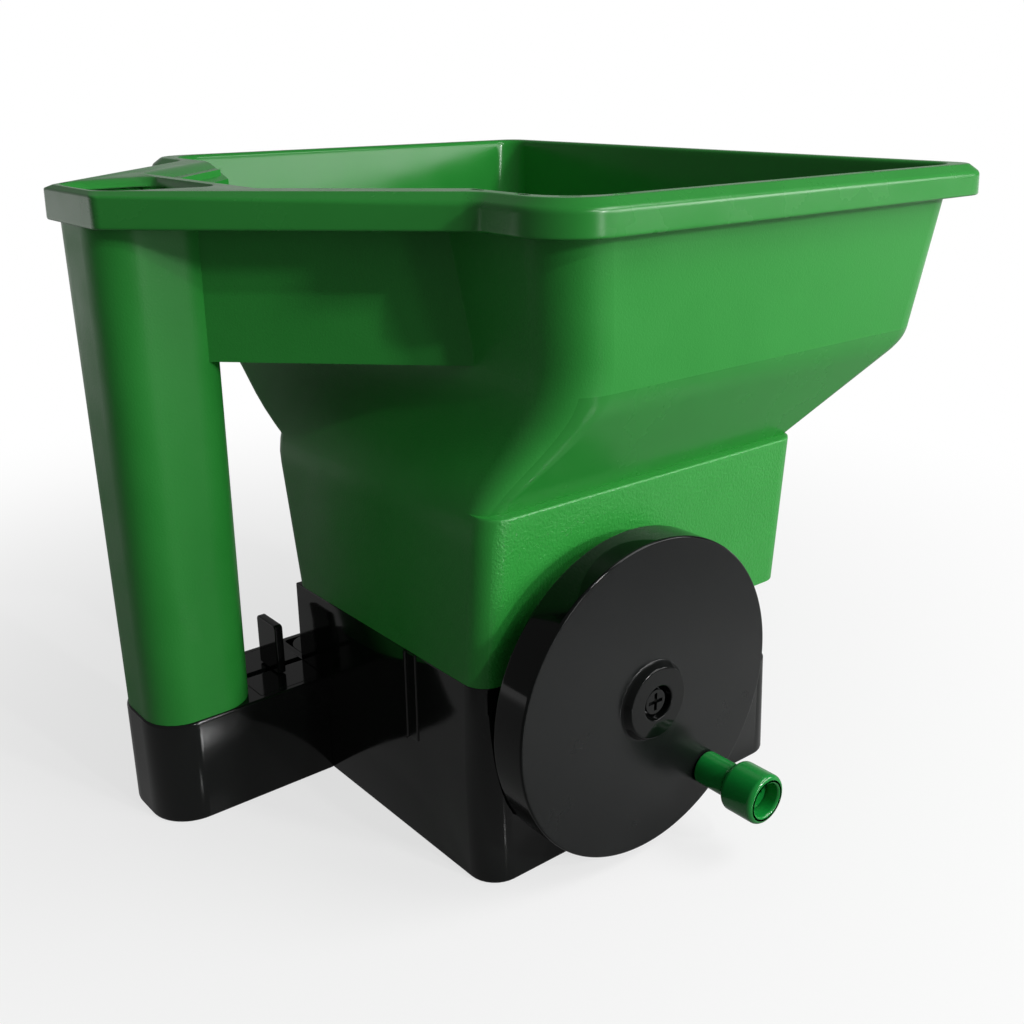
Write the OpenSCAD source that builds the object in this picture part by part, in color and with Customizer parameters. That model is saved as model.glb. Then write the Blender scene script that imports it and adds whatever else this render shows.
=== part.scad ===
// Handheld seed spreader: a crank-driven broadcast spreader with a hopper, a handle tube and a sliding gate.
// Millimetres, Z up, the table at z = 0, the discharge side at +X and the crank at -Y.

/* [Hopper] */
// height of the rim's top face above the table
rim_top = 211; // [208:0.5:216]
// depth of the turned-down rim
rim_depth = 10.4; // [8:0.2:13]
// half of the rim's width across the crank axis
rim_half_w = 131.7; // [130:0.1:135]
// front edge of the rim
rim_front = 147; // [145.5:0.5:150]
// rear edge of the rim beside the handle
rim_rear = -54; // [-56:0.5:-53.5]
// corner radius of the rim at the front
rim_front_r = 12; // [8:0.5:14]
// corner radius of the rim at the rear
rim_rear_r = 20; // [17:0.5:22]
// how far the rim stands out from the tub wall
rim_over = 7; // [6.6:0.1:8]
// how far the rim stands out from the tub wall beside the handle
rim_over_rear = 11; // [10:0.1:12]
// wall of the hopper moulding
tub_wall = 2.4; // [2:0.1:2.6]
// height where the tub's steep walls turn into the sloped floor
shoulder_z = 150; // [146:0.5:154]
// height where the sloped floor meets the narrow box
box_top_z = 122; // [119:0.5:125]
// underside of the narrow box, where it sits on the base
box_low_z = 68.8; // [68.4:0.1:70]
// underside of the hopper's floor
floor_low_z = 67.6; // [67.4:0.05:67.8]
// thickness of the hopper's floor
floor_t = 2.6; // [2.2:0.1:3]

/* [Handle] */
// middle of the handle tube
handle_x = -110; // [-111:0.2:-109.5]
// outside of the tube at its foot
handle_low = 37; // [36.4:0.1:37.2]
// outside of the tube at the rim
handle_top = 38.8; // [38:0.1:39.2]
// corner radius of the tube
handle_r = 13; // [11:0.5:14]
// wall of the tube
handle_wall = 2.4; // [2:0.1:2.8]
// rear end of the rim behind the handle
rim_end = -130; // [-133:0.5:-129.5]
// underside of the trough between handle and tub
trough_low_z = 158; // [155:0.5:161]

/* [Base] */
// height of the tray, the neck and the handle socket
tray_h = 37.8; // [37.4:0.1:38.2]
// rear face of the base
base_rear = -65.5; // [-66:0.1:-65]
// front face of the tray
base_front = 71; // [69:0.5:73]
// crank-side face of the tray at the table
base_near = -113.2; // [-113.4:0.1:-113]
// far face of the tray and the neck
base_far = 19.3; // [19.2:0.1:20]
// corner radius of the tray
base_r = 10; // [8:0.5:11]
// wall of the base moulding
base_wall = 2.4; // [2.2:0.1:2.6]
// forward end of the tall side walls, where the discharge opening starts
side_wall_front = 32; // [31:0.5:40]
// thickness of the deck over the gears
deck_t = 2; // [1.6:0.1:2.2]

/* [Crank wheel] */
// crank axis, along the part
wheel_x = -15; // [-15.4:0.1:-14.6]
// crank axis, above the table
wheel_z = 58.1; // [57.9:0.1:58.2]
// radius of the crank wheel
wheel_r = 53; // [52.4:0.1:54]
// outer face of the crank wheel
wheel_face = 131.6; // [131.4:0.1:132.5]
// width of the crank wheel's rim
wheel_w = 12.6; // [12.4:0.1:12.8]
// web of the crank wheel
wheel_web = 3.2; // [3:0.1:3.4]
// radius of the raised hub
hub_r = 11.8; // [10.5:0.1:13]
// how far the hub stands out
hub_h = 2.8; // [2.4:0.1:4]
// radius of the hole in the hub
hub_hole_r = 4.8; // [4.75:0.05:6]
// distance of the knob from the crank axis
crank_throw = 43.2; // [41:0.2:44]
// direction of the knob at rest, from forward
crank_angle = -52.5; // [-60:0.5:-45]

/* [Knob] */
// radius of the knob's barrel
knob_r = 8.5; // [8:0.1:9.5]
// radius of the knob's stem
knob_stem_r = 5.7; // [5:0.1:6.5]
// length of the stem
knob_stem_l = 13; // [12:0.5:13.5]
// length of the barrel
knob_barrel_l = 13.2; // [12.6:0.2:15]
// radius of the cup in the knob's end
knob_cup_r = 6.5; // [5.4:0.1:6.8]
// depth of that cup
knob_cup_d = 7.5; // [7:0.1:8]

/* [Gears] */
// module of the ring gear and its pinion
ring_m = 1.5; // [1.48:0.005:1.51]
// module of the mitre gears
mitre_m = 1.4; // [1.3:0.02:1.42]
// face width of the mitre gears
mitre_face = 4; // [3:0.1:4.4]
// radius of the two gear shafts
shaft_r = 3; // [2.8:0.05:3.1]
// wall of the bushes
bush_wall = 1.5; // [1.2:0.1:1.8]

/* [Spinner] */
// spinner axis, along the part
spin_x = -4; // [-4.4:0.1:-3.6]
// spinner axis, across the part
spin_y = -52; // [-52.5:0.1:-51.5]
// radius of the spinner
spin_r = 41; // [36:0.5:42]
// height of the spinner's plate above the deck
spin_z = 5.2; // [4.8:0.1:6]
// height of the vanes on the plate
vane_h = 11; // [8:0.2:12]

/* [Gate] */
// travel of the gate from shut to open
gate_travel = 10; // [8:0.1:10]
// thickness of the gate's blade
blade_t = 2; // [1.8:0.05:2.1]
// rear face of the finger tab when shut
tab_x = -78.4; // [-79:0.1:-77.5]
// thickness of the finger tab and the riser
tab_t = 3.1; // [2.6:0.1:3.2]
// half of the finger tab's width
tab_half = 6.1; // [5:0.1:7]
// top of the finger tab
tab_top = 57; // [54:0.5:59]
// thickness of the cover on the neck
cover_t = 3; // [2.6:0.1:3.2]
// length of the outlet along the travel
outlet_len = 9; // [6:0.2:9]
// width of the outlet across the travel
outlet_wid = 34; // [26:0.5:35]

/* [Clearances] */
// radial play of a shaft in its bush
run_play = 0.05; // [0.03:0.01:0.08]
// play between sliding faces
slide_play = 0.4; // [0.35:0.05:0.4]
// play around screws and pressed pieces
fit_play = 0.05; // [0.04:0.01:0.06]
// play around plates that drop into a seat
seat_play = 0.15; // [0.1:0.05:0.3]

/* [Hidden] */
$fn = 64;
corner_n = 7;
green = [0.10, 0.45, 0.16];
black = [0.05, 0.05, 0.05];
steel = [0.62, 0.63, 0.65];
brass = [0.72, 0.58, 0.30];
nylon = [0.86, 0.85, 0.80];

rim_low = rim_top - rim_depth;
rim_under = rim_top - tub_wall;
flare_sum = rim_end - 19.8;
trough_sum = 116.5;
floor_top = floor_low_z + floor_t;
handle_half = handle_low / 2;
handle_front = handle_x + handle_top / 2;
spigot_step = handle_wall + 0.2;
spigot_low = 14;
socket_floor = spigot_low - 2;

deck_low = tray_h - deck_t;
near_lean = (base_near + 110) / box_low_z;
near_tray = base_near - near_lean * tray_h;
near_top = base_near - near_lean * box_low_z;
upper_far = -1;
box_low_front = 72.5;
box_top_near = -111.5;
box_top_front = 74.6;
box_top_far = 11;
shoulder_half = rim_half_w - 13.2;
shoulder_front = rim_front - 13.5;

ring_n = 60;
pinion_n = 12;
gear_dist = ring_m * (ring_n - pinion_n) / 2;
mesh_dx = spin_x - wheel_x;
shaft_z = wheel_z - sqrt(gear_dist * gear_dist - mesh_dx * mesh_dx);
mesh_dir = atan2(shaft_z - wheel_z, mesh_dx);
mitre_n = 12;
mitre_r = mitre_m * mitre_n / 2;
bush_r = shaft_r + run_play + bush_wall;
plate_z = tray_h + spin_z;
wheel_back = wheel_face - wheel_w;
hub_inner = wheel_back - 4;
boss_face = hub_inner - 0.3;
axle_r = 3;
axle_seat = wheel_face - 2.1;
knob_x = wheel_x + crank_throw * cos(crank_angle);
knob_z = wheel_z + crank_throw * sin(crank_angle);
stud_r = 3.5;
knob_face = wheel_face + 0.4;
knob_end = knob_face + knob_stem_l + knob_barrel_l;
stud_end = knob_end - knob_cup_d + 0.3;

post_y = spin_y - 21;
post_w = 7;
bush_l = 9;

blade_low = floor_low_z - slide_play - blade_t;
blade_top = floor_low_z - slide_play;
guide_top = blade_low - slide_play;
guide_t = 2.2;
outlet_x = spin_x - 34;
outlet_y = spin_y - outlet_wid / 2;
blade_front = outlet_x + outlet_len + 3;
riser_x = base_rear + base_wall + gate_travel + 0.9;
riser_y0 = -14;
riser_y1 = -8;
arm_y1 = 3;
cover_low = tray_h - cover_t;
arm_top = cover_low - slide_play;
arm_low = arm_top - 2.6;
stem_half = 1;
slot_rear = tab_x - gate_travel - 0.6;
cover_rear = slot_rear - 1.5;
cover_half = base_far - 2.7;

guide_rear = outlet_x - 20;
guide_front = outlet_x + 20.5;
guide_near = outlet_y - 8;
guide_far = outlet_y + outlet_wid + 7;
post_rear = base_rear + 11.5;
post_front = base_front - 13;
post_near = base_near + 12.2;
post_far = base_far - 10.3;
lug_far = upper_far - 8;

hopper_lugs = [[base_rear + 8.5, near_top + 7], [spin_x - 9, lug_far], [spin_x + 27, near_top + 7], [spin_x + 27, lug_far]];
deck_posts = [[post_rear, post_near], [post_front, post_near], [post_front, post_far], [post_rear, post_far]];
guide_pts = [[guide_rear + 4, guide_near + 2.5], [outlet_x + 12, guide_near + 2.5], [guide_front - 2, guide_far - 2]];

// points of an arc about c from angle a0 to a1
function arc(c, r, a0, a1) = [for (i = [0:corner_n]) c + r * [cos(a0 + (a1 - a0) * i / corner_n), sin(a0 + (a1 - a0) * i / corner_n)]];

// rounded rectangle with its own radius at each corner: near rear, near front, far front, far rear
function rect_path(x0, y0, x1, y1, r) = concat(
  arc([x0 + r[0], y0 + r[0]], r[0], 180, 270),
  arc([x1 - r[1], y0 + r[1]], r[1], 270, 360),
  arc([x1 - r[2], y1 - r[2]], r[2], 0, 90),
  arc([x0 + r[3], y1 - r[3]], r[3], 90, 180));

function unit(v) = v / norm(v);
function turn(a) = a > 180 ? a - 360 : (a < -180 ? a + 360 : a);

// one rounded corner of a polygon at p between the neighbours a and b
function corner(a, p, b, r) =
  let (u = unit(a - p), v = unit(b - p), h = acos(u * v) / 2, t = p + u * r / tan(h), c = p + unit(u + v) * r / sin(h),
       a0 = atan2(t[1] - c[1], t[0] - c[0]), e = p + v * r / tan(h), a1 = atan2(e[1] - c[1], e[0] - c[0]))
  arc(c, r, a0, a0 + turn(a1 - a0));

function round_path(pts, rs) = [for (i = [0:len(pts) - 1])
  each corner(pts[(i + len(pts) - 1) % len(pts)], pts[i], pts[(i + 1) % len(pts)], rs[i])];

// outline of the rim, moved in by t
function rim_path(t) =
  let (s = flare_sum + t * sqrt(2), e = rim_end + t, q = rim_rear + t, f = rim_front - t, w = rim_half_w - t)
  round_path([[e, s - e], [q, s - q], [q, -w], [f, -w], [f, w], [q, w], [q, q - s], [e, e - s]],
    [5, 8 + t, rim_rear_r - t, rim_front_r - t, rim_front_r - t, rim_rear_r - t, 8 + t, 5]);

// solid through rounded rectangles, each [z, x0, y0, x1, y1, radii]
module loft(secs) {
  paths = [for (s = secs) rect_path(s[1], s[2], s[3], s[4], s[5])];
  n = len(paths[0]);
  m = len(secs);
  pts = [for (k = [0:m - 1]) for (p = paths[k]) [p[0], p[1], secs[k][0]]];
  sides = [for (k = [0:m - 2]) for (i = [0:n - 1]) let (j = (i + 1) % n)
    each [[k * n + i, (k + 1) * n + i, (k + 1) * n + j], [k * n + i, (k + 1) * n + j, k * n + j]]];
  polyhedron(points = pts, faces = concat([[for (i = [0:n - 1]) i]], [[for (i = [n - 1:-1:0]) (m - 1) * n + i]], sides));
}

// flat rounded rectangle with true arcs
module rrect(x0, y0, x1, y1, r) {
  translate([x0 + r, y0]) square([x1 - x0 - 2 * r, y1 - y0]);
  translate([x0, y0 + r]) square([x1 - x0, y1 - y0 - 2 * r]);
  for (x = [x0 + r, x1 - r], y = [y0 + r, y1 - r]) translate([x, y]) circle(r);
}

module box(x0, x1, y0, y1, z0, z1) {
  translate([x0, y0, z0]) cube([x1 - x0, y1 - y0, z1 - z0]);
}

// upright round bar
module bar(x, y, z0, z1, r) {
  translate([x, y, z0]) cylinder(r = r, h = z1 - z0);
}

// round bar along the crank axis, from a to b measured outwards
module axle(x, z, a, b, r) {
  translate([x, -a, z]) rotate([90, 0, 0]) cylinder(r = r, h = b - a);
}

function inv(a) = tan(a) * 180 / PI - a;

// half tooth angle at radius r for an involute tooth with half angle hp on the pitch circle
function flank(r, rp, hp) =
  let (rb = rp * cos(20), q = max(r, rb * 1.0001))
  hp + inv(20) - inv(acos(rb / q));

// gear outline: n teeth between root rf and tip ra, one tooth pointing along dir
function gear_path(n, m, rf, ra, hp, dir) =
  let (rp = n * m / 2, rs = [rf, rf + (ra - rf) * 0.35, rf + (ra - rf) * 0.7, ra])
  [for (k = [0:n - 1]) let (c = dir + 360 * k / n)
    each concat([for (r = rs) r * [cos(c - flank(r, rp, hp)), sin(c - flank(r, rp, hp))]],
                [for (i = [3:-1:0]) let (r = rs[i]) r * [cos(c + flank(r, rp, hp)), sin(c + flank(r, rp, hp))]])];

module tub_outer() {
  loft([
    [box_low_z, base_rear, near_top, box_low_front, upper_far, [8, 8, 8, 6]],
    [box_top_z, base_rear + 2, box_top_near, box_top_front, box_top_far, [8, 8, 8, 6]],
    [shoulder_z, rim_rear + 15.5, -shoulder_half, shoulder_front, shoulder_half, [20, 15, 15, 20]],
    [rim_top - 1, rim_rear + rim_over_rear, -rim_half_w + rim_over, rim_front - rim_over, rim_half_w - rim_over, [20, 12, 12, 20]]]);
}

module tub_inner() {
  w = tub_wall;
  loft([
    [box_low_z - 0.01, base_rear + w, near_top + w, box_low_front - w, upper_far - w, [5.6, 5.6, 5.6, 3.6]],
    [box_top_z + w * 0.6, base_rear + 2 + w, box_top_near + w, box_top_front - w, box_top_far - w, [5.6, 5.6, 5.6, 3.6]],
    [shoulder_z + w * 0.9, rim_rear + 15.5 + w, -shoulder_half + w, shoulder_front - w, shoulder_half - w, [17.6, 12.6, 12.6, 17.6]],
    [rim_top + 1, rim_rear + rim_over_rear + w, -rim_half_w + rim_over + w, rim_front - rim_over - w, rim_half_w - rim_over - w,
      [17.6, 9.6, 9.6, 17.6]]]);
}

// plan of the trough between the handle and the tub from x0 to x1, moved in by t
module trough_plan(t, x0, x1) {
  s = trough_sum - t * sqrt(2);
  polygon([[x0, -s - x0], [x1, -s - x1], [x1, s + x1], [x0, s + x0]]);
}

// foot of the handle tube, moved in by t
module tube_plan(t) {
  rrect(handle_x - handle_half + t, -handle_half + t, handle_x + handle_half - t, handle_half - t, handle_r - t);
}

// the handle tube's section at height z, moved in by t
function tube_sec(z, t) =
  let (h = handle_half + (handle_top - handle_low) / 2 * (z - tray_h) / (rim_top - tray_h) - t, r = handle_r - t)
  [z, handle_x - h, -h, handle_x + h, h, [r, r, r, r]];

module hopper() {
  color(green) difference() {
    union() {
      tub_outer();
      translate([0, 0, rim_under]) linear_extrude(tub_wall) polygon(rim_path(0));
      translate([0, 0, rim_low]) linear_extrude(rim_depth - tub_wall) difference() {
        polygon(rim_path(0));
        polygon(rim_path(tub_wall));
      }
      difference() {
        translate([0, 0, trough_low_z]) linear_extrude(rim_under - trough_low_z) trough_plan(0, handle_x + 10, -37);
        loft([tube_sec(trough_low_z - 1, -fit_play), tube_sec(rim_low, -fit_play)]);
      }
      loft([tube_sec(rim_low, 0), tube_sec(rim_under + 1, 0)]);
    }
    tub_inner();
    translate([0, 0, trough_low_z + tub_wall]) linear_extrude(rim_top - trough_low_z) trough_plan(tub_wall, handle_front + tub_wall, -33);
    loft([tube_sec(rim_low - 1, handle_wall), tube_sec(rim_top + 1, handle_wall)]);
  }
}

module hopper_floor() {
  edge = tub_wall + seat_play;
  color(green) difference() {
    union() {
      translate([0, 0, floor_low_z]) linear_extrude(floor_t)
        rrect(base_rear + edge, near_top + edge, box_low_front - edge, upper_far - edge, 6);
      for (p = hopper_lugs) bar(p[0], p[1], floor_low_z, floor_top + 9, 4.5);
    }
    box(outlet_x, outlet_x + outlet_len, outlet_y, outlet_y + outlet_wid, floor_low_z - 1, floor_top + 1);
    bar(spin_x, spin_y, floor_low_z - 1, floor_top + 1, bush_r + fit_play);
    for (p = hopper_lugs) bar(p[0], p[1], floor_low_z - 1, floor_top + 7, 1.5 + fit_play);
    for (p = guide_pts) bar(p[0], p[1], floor_low_z - 1, floor_top - 0.4, 1.25 + fit_play);
  }
}

module handle_tube() {
  color(green) difference() {
    union() {
      loft([tube_sec(tray_h, 0), tube_sec(rim_low, 0)]);
      translate([0, 0, spigot_low]) linear_extrude(tray_h - spigot_low + 1) tube_plan(spigot_step);
    }
    loft([tube_sec(tray_h + 3, handle_wall), tube_sec(rim_top + 1, handle_wall)]);
    translate([0, 0, spigot_low + 3]) linear_extrude(tray_h) tube_plan(spigot_step + handle_wall);
    bar(handle_x, 0, spigot_low - 1, spigot_low + 4, 1.5 + fit_play);
  }
}

module base_housing() {
  color(black) difference() {
    union() {
      difference() {
        union() {
          loft([
            [0, base_rear, base_near, base_front, base_far, [base_r, base_r, base_r, 4]],
            [tray_h, base_rear, near_tray, base_front, base_far, [base_r, base_r, base_r, 4]]]);
          intersection() {
            loft([
              [tray_h - 4, base_rear, near_tray - near_lean * -4, 75, upper_far, [base_r, 8, 8, 5]],
              [box_low_z, base_rear, near_top, 75, upper_far, [8, 8, 8, 5]]]);
            box(base_rear - 1, side_wall_front, base_near - 1, base_far, tray_h - 4, box_low_z);
          }
          linear_extrude(tray_h) rrect(handle_x - base_far, -base_far, base_rear + 20, base_far, handle_r + 1.5);
        }
        loft([
          [base_wall, base_rear + base_wall, base_near + base_wall, base_front - base_wall, base_far - base_wall, [7.6, 7.6, 7.6, 2]],
          [tray_h + 0.01, base_rear + base_wall, near_tray + base_wall, base_front - base_wall, base_far - base_wall, [7.6, 7.6, 7.6, 2]]]);
        loft([
          [tray_h - 0.5, base_rear + base_wall, near_tray + base_wall, side_wall_front + 20, upper_far - base_wall, [7.6, 4, 4, 2]],
          [box_low_z + 1, base_rear + base_wall, near_top + base_wall, side_wall_front + 20, upper_far - base_wall, [5.6, 4, 4, 2]]]);
      }
      for (p = deck_posts) bar(p[0], p[1], base_wall - 0.5, deck_low, 4.5);
      box(base_rear + 1.5, base_rear + 14, near_tray + 1.4, hopper_lugs[0][1] + 5, floor_low_z - 8, floor_low_z);
      for (i = [1, 3]) box(hopper_lugs[i][0] - 5.5, hopper_lugs[i][0] + 5.5, lug_far - 6, upper_far - 1, floor_low_z - 8, floor_low_z);
      box(hopper_lugs[2][0] - 5.5, hopper_lugs[2][0] + 5.5, near_tray + 1.4, hopper_lugs[2][1] + 5.5, floor_low_z - 8, floor_low_z);
      bar(spin_x, spin_y, base_wall - 0.5, 9, bush_r + 3);
      box(spin_x - 7.5, spin_x + 7.5, post_y - post_w / 2, post_y + post_w / 2, base_wall - 0.5, shaft_z + 8);
      axle(spin_x, shaft_z, -near_tray - 9, -near_tray - 0.5, bush_r + 3);
      axle(wheel_x, wheel_z, -near_tray - 6, boss_face, 9);
      box(base_rear - 0.8, base_rear + 1, -77, -72, tray_h - 1, box_low_z - 1.5);
    }
    translate([0, 0, socket_floor]) linear_extrude(tray_h) tube_plan(spigot_step - 0.1);
    bar(handle_x, 0, -1, socket_floor + 1, 1.5 + 0.3);
    bar(handle_x, 0, -1, 6, 3.4);
    box(cover_rear - 0.1, base_rear, -cover_half - 0.1, cover_half + 0.1, cover_low, tray_h + 1);
    box(slot_rear, base_rear + base_wall + 1, riser_y0 - 0.6, arm_y1 + 0.6, arm_low - slide_play, cover_low + 0.01);
    for (p = hopper_lugs) bar(p[0], p[1], floor_low_z - 9, floor_low_z + 1, 1.5 + 0.2);
    for (p = deck_posts) bar(p[0], p[1], deck_low - 9, deck_low + 1, 1.25 + fit_play);
    bar(spin_x, spin_y, base_wall, 10, bush_r + fit_play);
    axle(spin_x, shaft_z, -near_tray - 10, -near_tray + 6, bush_r + fit_play);
    axle(spin_x, shaft_z, -post_y - post_w, -post_y + post_w, bush_r + fit_play);
    axle(wheel_x, wheel_z, boss_face - 7.4, boss_face + 1, 4.2 + fit_play);
  }
}

module deck_plate() {
  color(black) difference() {
    union() {
      translate([0, 0, deck_low]) linear_extrude(deck_t)
        rrect(base_rear + base_wall + 0.3, near_tray + base_wall + 0.9, base_front - base_wall - 0.3, base_far - base_wall - 0.3, base_r - base_wall + 0.6);
      bar(spin_x, spin_y, deck_low - 2.5, deck_low + 1, bush_r + 2.5);
    }
    bar(spin_x, spin_y, deck_low - 5, tray_h + 1, bush_r + fit_play);
    for (p = deck_posts) bar(p[0], p[1], deck_low - 1, tray_h + 1, 1.25 + 0.2);
    box(base_rear, riser_x + tab_t + 0.6, riser_y0 - 0.6, riser_y1 + 0.6, deck_low - 1, tray_h + 1);
  }
}

module neck_cover() {
  color(black) difference() {
    box(cover_rear, base_rear - 0.1, -cover_half, cover_half, cover_low, tray_h);
    box(slot_rear, base_rear, -stem_half - 0.5, stem_half + 0.5, cover_low - 1, tray_h + 1);
  }
}

module gate_guide() {
  color(black) difference() {
    union() {
      box(guide_rear, guide_front, guide_near, guide_far, guide_top - guide_t, guide_top);
      box(guide_rear, guide_front, guide_near, outlet_y - 3, guide_top - 1, floor_low_z);
      box(blade_front + slide_play + 3.6, guide_front, guide_near, guide_far, guide_top - 1, floor_low_z);
    }
    box(outlet_x - 0.5, outlet_x + outlet_len + 0.5, outlet_y - 0.5, outlet_y + outlet_wid + 0.5, guide_top - 5, guide_top + 1);
    for (p = guide_pts) bar(p[0], p[1], guide_top - 5, floor_low_z + 1, 1.25 + 0.2);
  }
}

module gate_slide() {
  color(black) {
    box(tab_x, tab_x + tab_t, -tab_half, tab_half, tray_h + slide_play, tab_top);
    box(tab_x, tab_x + tab_t, -stem_half, stem_half, arm_low, tab_top);
    box(tab_x, riser_x + tab_t, riser_y0, arm_y1, arm_low, arm_top);
    box(riser_x, riser_x + tab_t, riser_y0, riser_y1, arm_low, blade_top);
    box(riser_x, blade_front, outlet_y - 2, riser_y1, blade_low, blade_top);
  }
}

module crank_wheel() {
  color(black) difference() {
    union() {
      translate([wheel_x, 0, wheel_z]) rotate([90, 0, 0]) {
        translate([0, 0, wheel_face - wheel_web]) cylinder(r = wheel_r, h = wheel_web);
        translate([0, 0, wheel_back]) linear_extrude(wheel_w - 1) difference() {
          circle(wheel_r);
          polygon(gear_path(ring_n, ring_m, ring_m * ring_n / 2 - 1.3, ring_m * ring_n / 2 + 1.9, 90 / ring_n + 0.11, mesh_dir));
        }
        translate([0, 0, wheel_face - 1]) cylinder(r1 = hub_r + 1.6, r2 = hub_r, h = hub_h + 1);
      }
      axle(wheel_x, wheel_z, hub_inner, wheel_face - 1, 9);
      axle(knob_x, knob_z, wheel_face - 1, stud_end, stud_r);
    }
    axle(wheel_x, wheel_z, hub_inner - 1, wheel_face, axle_r + run_play);
    axle(wheel_x, wheel_z, axle_seat, wheel_face + hub_h + 1, hub_hole_r);
    axle(knob_x, knob_z, stud_end - 12, stud_end + 1, 1.5 + fit_play);
  }
}

module axle_bolt() {
  color(steel) difference() {
    union() {
      axle(wheel_x, wheel_z, boss_face - 7, boss_face + 0.2, 2.5);
      axle(wheel_x, wheel_z, boss_face, axle_seat + 1.2, axle_r);
      axle(wheel_x, wheel_z, axle_seat + 1.1, axle_seat + 3.6, 4.1);
    }
    box(wheel_x - 0.6, wheel_x + 0.6, -(axle_seat + 4), -(axle_seat + 2.4), wheel_z - 3, wheel_z + 3);
    box(wheel_x - 3, wheel_x + 3, -(axle_seat + 4), -(axle_seat + 2.4), wheel_z - 0.6, wheel_z + 0.6);
  }
}

module axle_washer() {
  color(steel) difference() {
    axle(wheel_x, wheel_z, axle_seat + 0.3, axle_seat + 1.1, 4.6);
    axle(wheel_x, wheel_z, axle_seat, axle_seat + 2, axle_r + fit_play);
  }
}

module axle_insert() {
  color(brass) difference() {
    axle(wheel_x, wheel_z, boss_face - 7.3, boss_face, 4.2);
    axle(wheel_x, wheel_z, boss_face - 9, boss_face + 1, 2.5 + fit_play);
  }
}

module crank_knob() {
  color(green) difference() {
    union() {
      axle(knob_x, knob_z, knob_face, knob_face + knob_stem_l, knob_stem_r);
      translate([knob_x, 0, knob_z]) rotate([90, 0, 0]) translate([0, 0, knob_face + knob_stem_l - 1.5])
        cylinder(r1 = knob_stem_r, r2 = knob_r, h = 2.5);
      axle(knob_x, knob_z, knob_face + knob_stem_l + 1, knob_end, knob_r);
    }
    axle(knob_x, knob_z, knob_face - 1, knob_end, stud_r + run_play);
    axle(knob_x, knob_z, knob_end - knob_cup_d, knob_end + 1, knob_cup_r);
  }
}

module knob_screw() {
  color(steel) difference() {
    union() {
      axle(knob_x, knob_z, stud_end - 11, stud_end + 0.2, 1.5);
      axle(knob_x, knob_z, stud_end, stud_end + 2.4, 5);
    }
    box(knob_x - 0.6, knob_x + 0.6, -(stud_end + 4), -(stud_end + 1.3), knob_z - 3, knob_z + 3);
    box(knob_x - 3, knob_x + 3, -(stud_end + 4), -(stud_end + 1.3), knob_z - 0.6, knob_z + 0.6);
  }
}

module pinion_gear() {
  color(nylon) difference() {
    translate([spin_x, 0, shaft_z]) rotate([90, 0, 0]) translate([0, 0, wheel_back + 0.4])
      linear_extrude(wheel_w - wheel_web - 0.8)
        polygon(gear_path(pinion_n, ring_m, ring_m * pinion_n / 2 - 1.8, ring_m * pinion_n / 2 + 1.3, 90 / pinion_n - 0.55, mesh_dir));
    axle(spin_x, shaft_z, wheel_back - 1, wheel_face, shaft_r);
  }
}

module pinion_shaft() {
  color(steel) axle(spin_x, shaft_z, -spin_y + mitre_r - mitre_face, wheel_face - wheel_web - 0.6, shaft_r);
}

module pinion_clip() {
  color(steel) difference() {
    axle(spin_x, shaft_z, -near_tray - 11, -near_tray - 9.8, 5);
    axle(spin_x, shaft_z, 0, 200, shaft_r);
  }
}

module bush_outer() {
  color(brass) difference() {
    axle(spin_x, shaft_z, -near_tray - 9, -near_tray, bush_r);
    axle(spin_x, shaft_z, 0, 200, shaft_r + run_play);
  }
}

module bush_inner() {
  color(brass) difference() {
    axle(spin_x, shaft_z, -post_y - post_w / 2, -post_y + post_w / 2, bush_r);
    axle(spin_x, shaft_z, 0, 200, shaft_r + run_play);
  }
}

module mitre_teeth(dir) {
  linear_extrude(height = mitre_face, scale = (mitre_r - mitre_face) / mitre_r)
    polygon(gear_path(mitre_n, mitre_m, mitre_r - 1.5, mitre_r + 0.9, 90 / mitre_n - 1.9, dir));
}

module mitre_drive() {
  color(nylon) difference() {
    union() {
      translate([spin_x, spin_y - mitre_r, shaft_z]) rotate([-90, 0, 0]) mitre_teeth(90);
      axle(spin_x, shaft_z, -spin_y + mitre_r - 0.2, -spin_y + mitre_r + 5, 6);
    }
    axle(spin_x, shaft_z, 0, 200, shaft_r);
  }
}

module mitre_driven() {
  color(nylon) difference() {
    union() {
      translate([spin_x, spin_y, shaft_z - mitre_r]) mitre_teeth(-90 + 180 / mitre_n);
      bar(spin_x, spin_y, 10, shaft_z - mitre_r + 0.2, 6);
    }
    bar(spin_x, spin_y, 0, 60, shaft_r);
  }
}

module spinner_shaft() {
  color(steel) bar(spin_x, spin_y, base_wall + 0.4, floor_top + 14, shaft_r);
}

module spinner_disc() {
  color(black) difference() {
    union() {
      bar(spin_x, spin_y, plate_z, plate_z + 2, spin_r);
      bar(spin_x, spin_y, plate_z - 3, plate_z + vane_h + 1, 7.5);
      for (k = [0:5]) translate([spin_x, spin_y, 0]) rotate([0, 0, 60 * k + 15])
        translate([6, -1, plate_z + 1]) cube([spin_r - 7, 2, vane_h + 1]);
    }
    bar(spin_x, spin_y, 0, 100, shaft_r);
  }
}

module spinner_clip() {
  color(steel) difference() {
    bar(spin_x, spin_y, deck_low - 4.2, deck_low - 3.2, 5);
    bar(spin_x, spin_y, 0, 100, shaft_r);
  }
}

module thrust_washer() {
  color(brass) difference() {
    bar(spin_x, spin_y, 9, 9.6, 6);
    bar(spin_x, spin_y, 0, 20, shaft_r + 0.1);
  }
}

module bush_lower() {
  color(brass) difference() {
    bar(spin_x, spin_y, base_wall, 9, bush_r);
    bar(spin_x, spin_y, 0, 20, shaft_r + run_play);
  }
}

module bush_deck() {
  color(brass) difference() {
    bar(spin_x, spin_y, deck_low - 2.5, tray_h + 1, bush_r);
    bar(spin_x, spin_y, 0, 60, shaft_r + run_play);
  }
}

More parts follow.
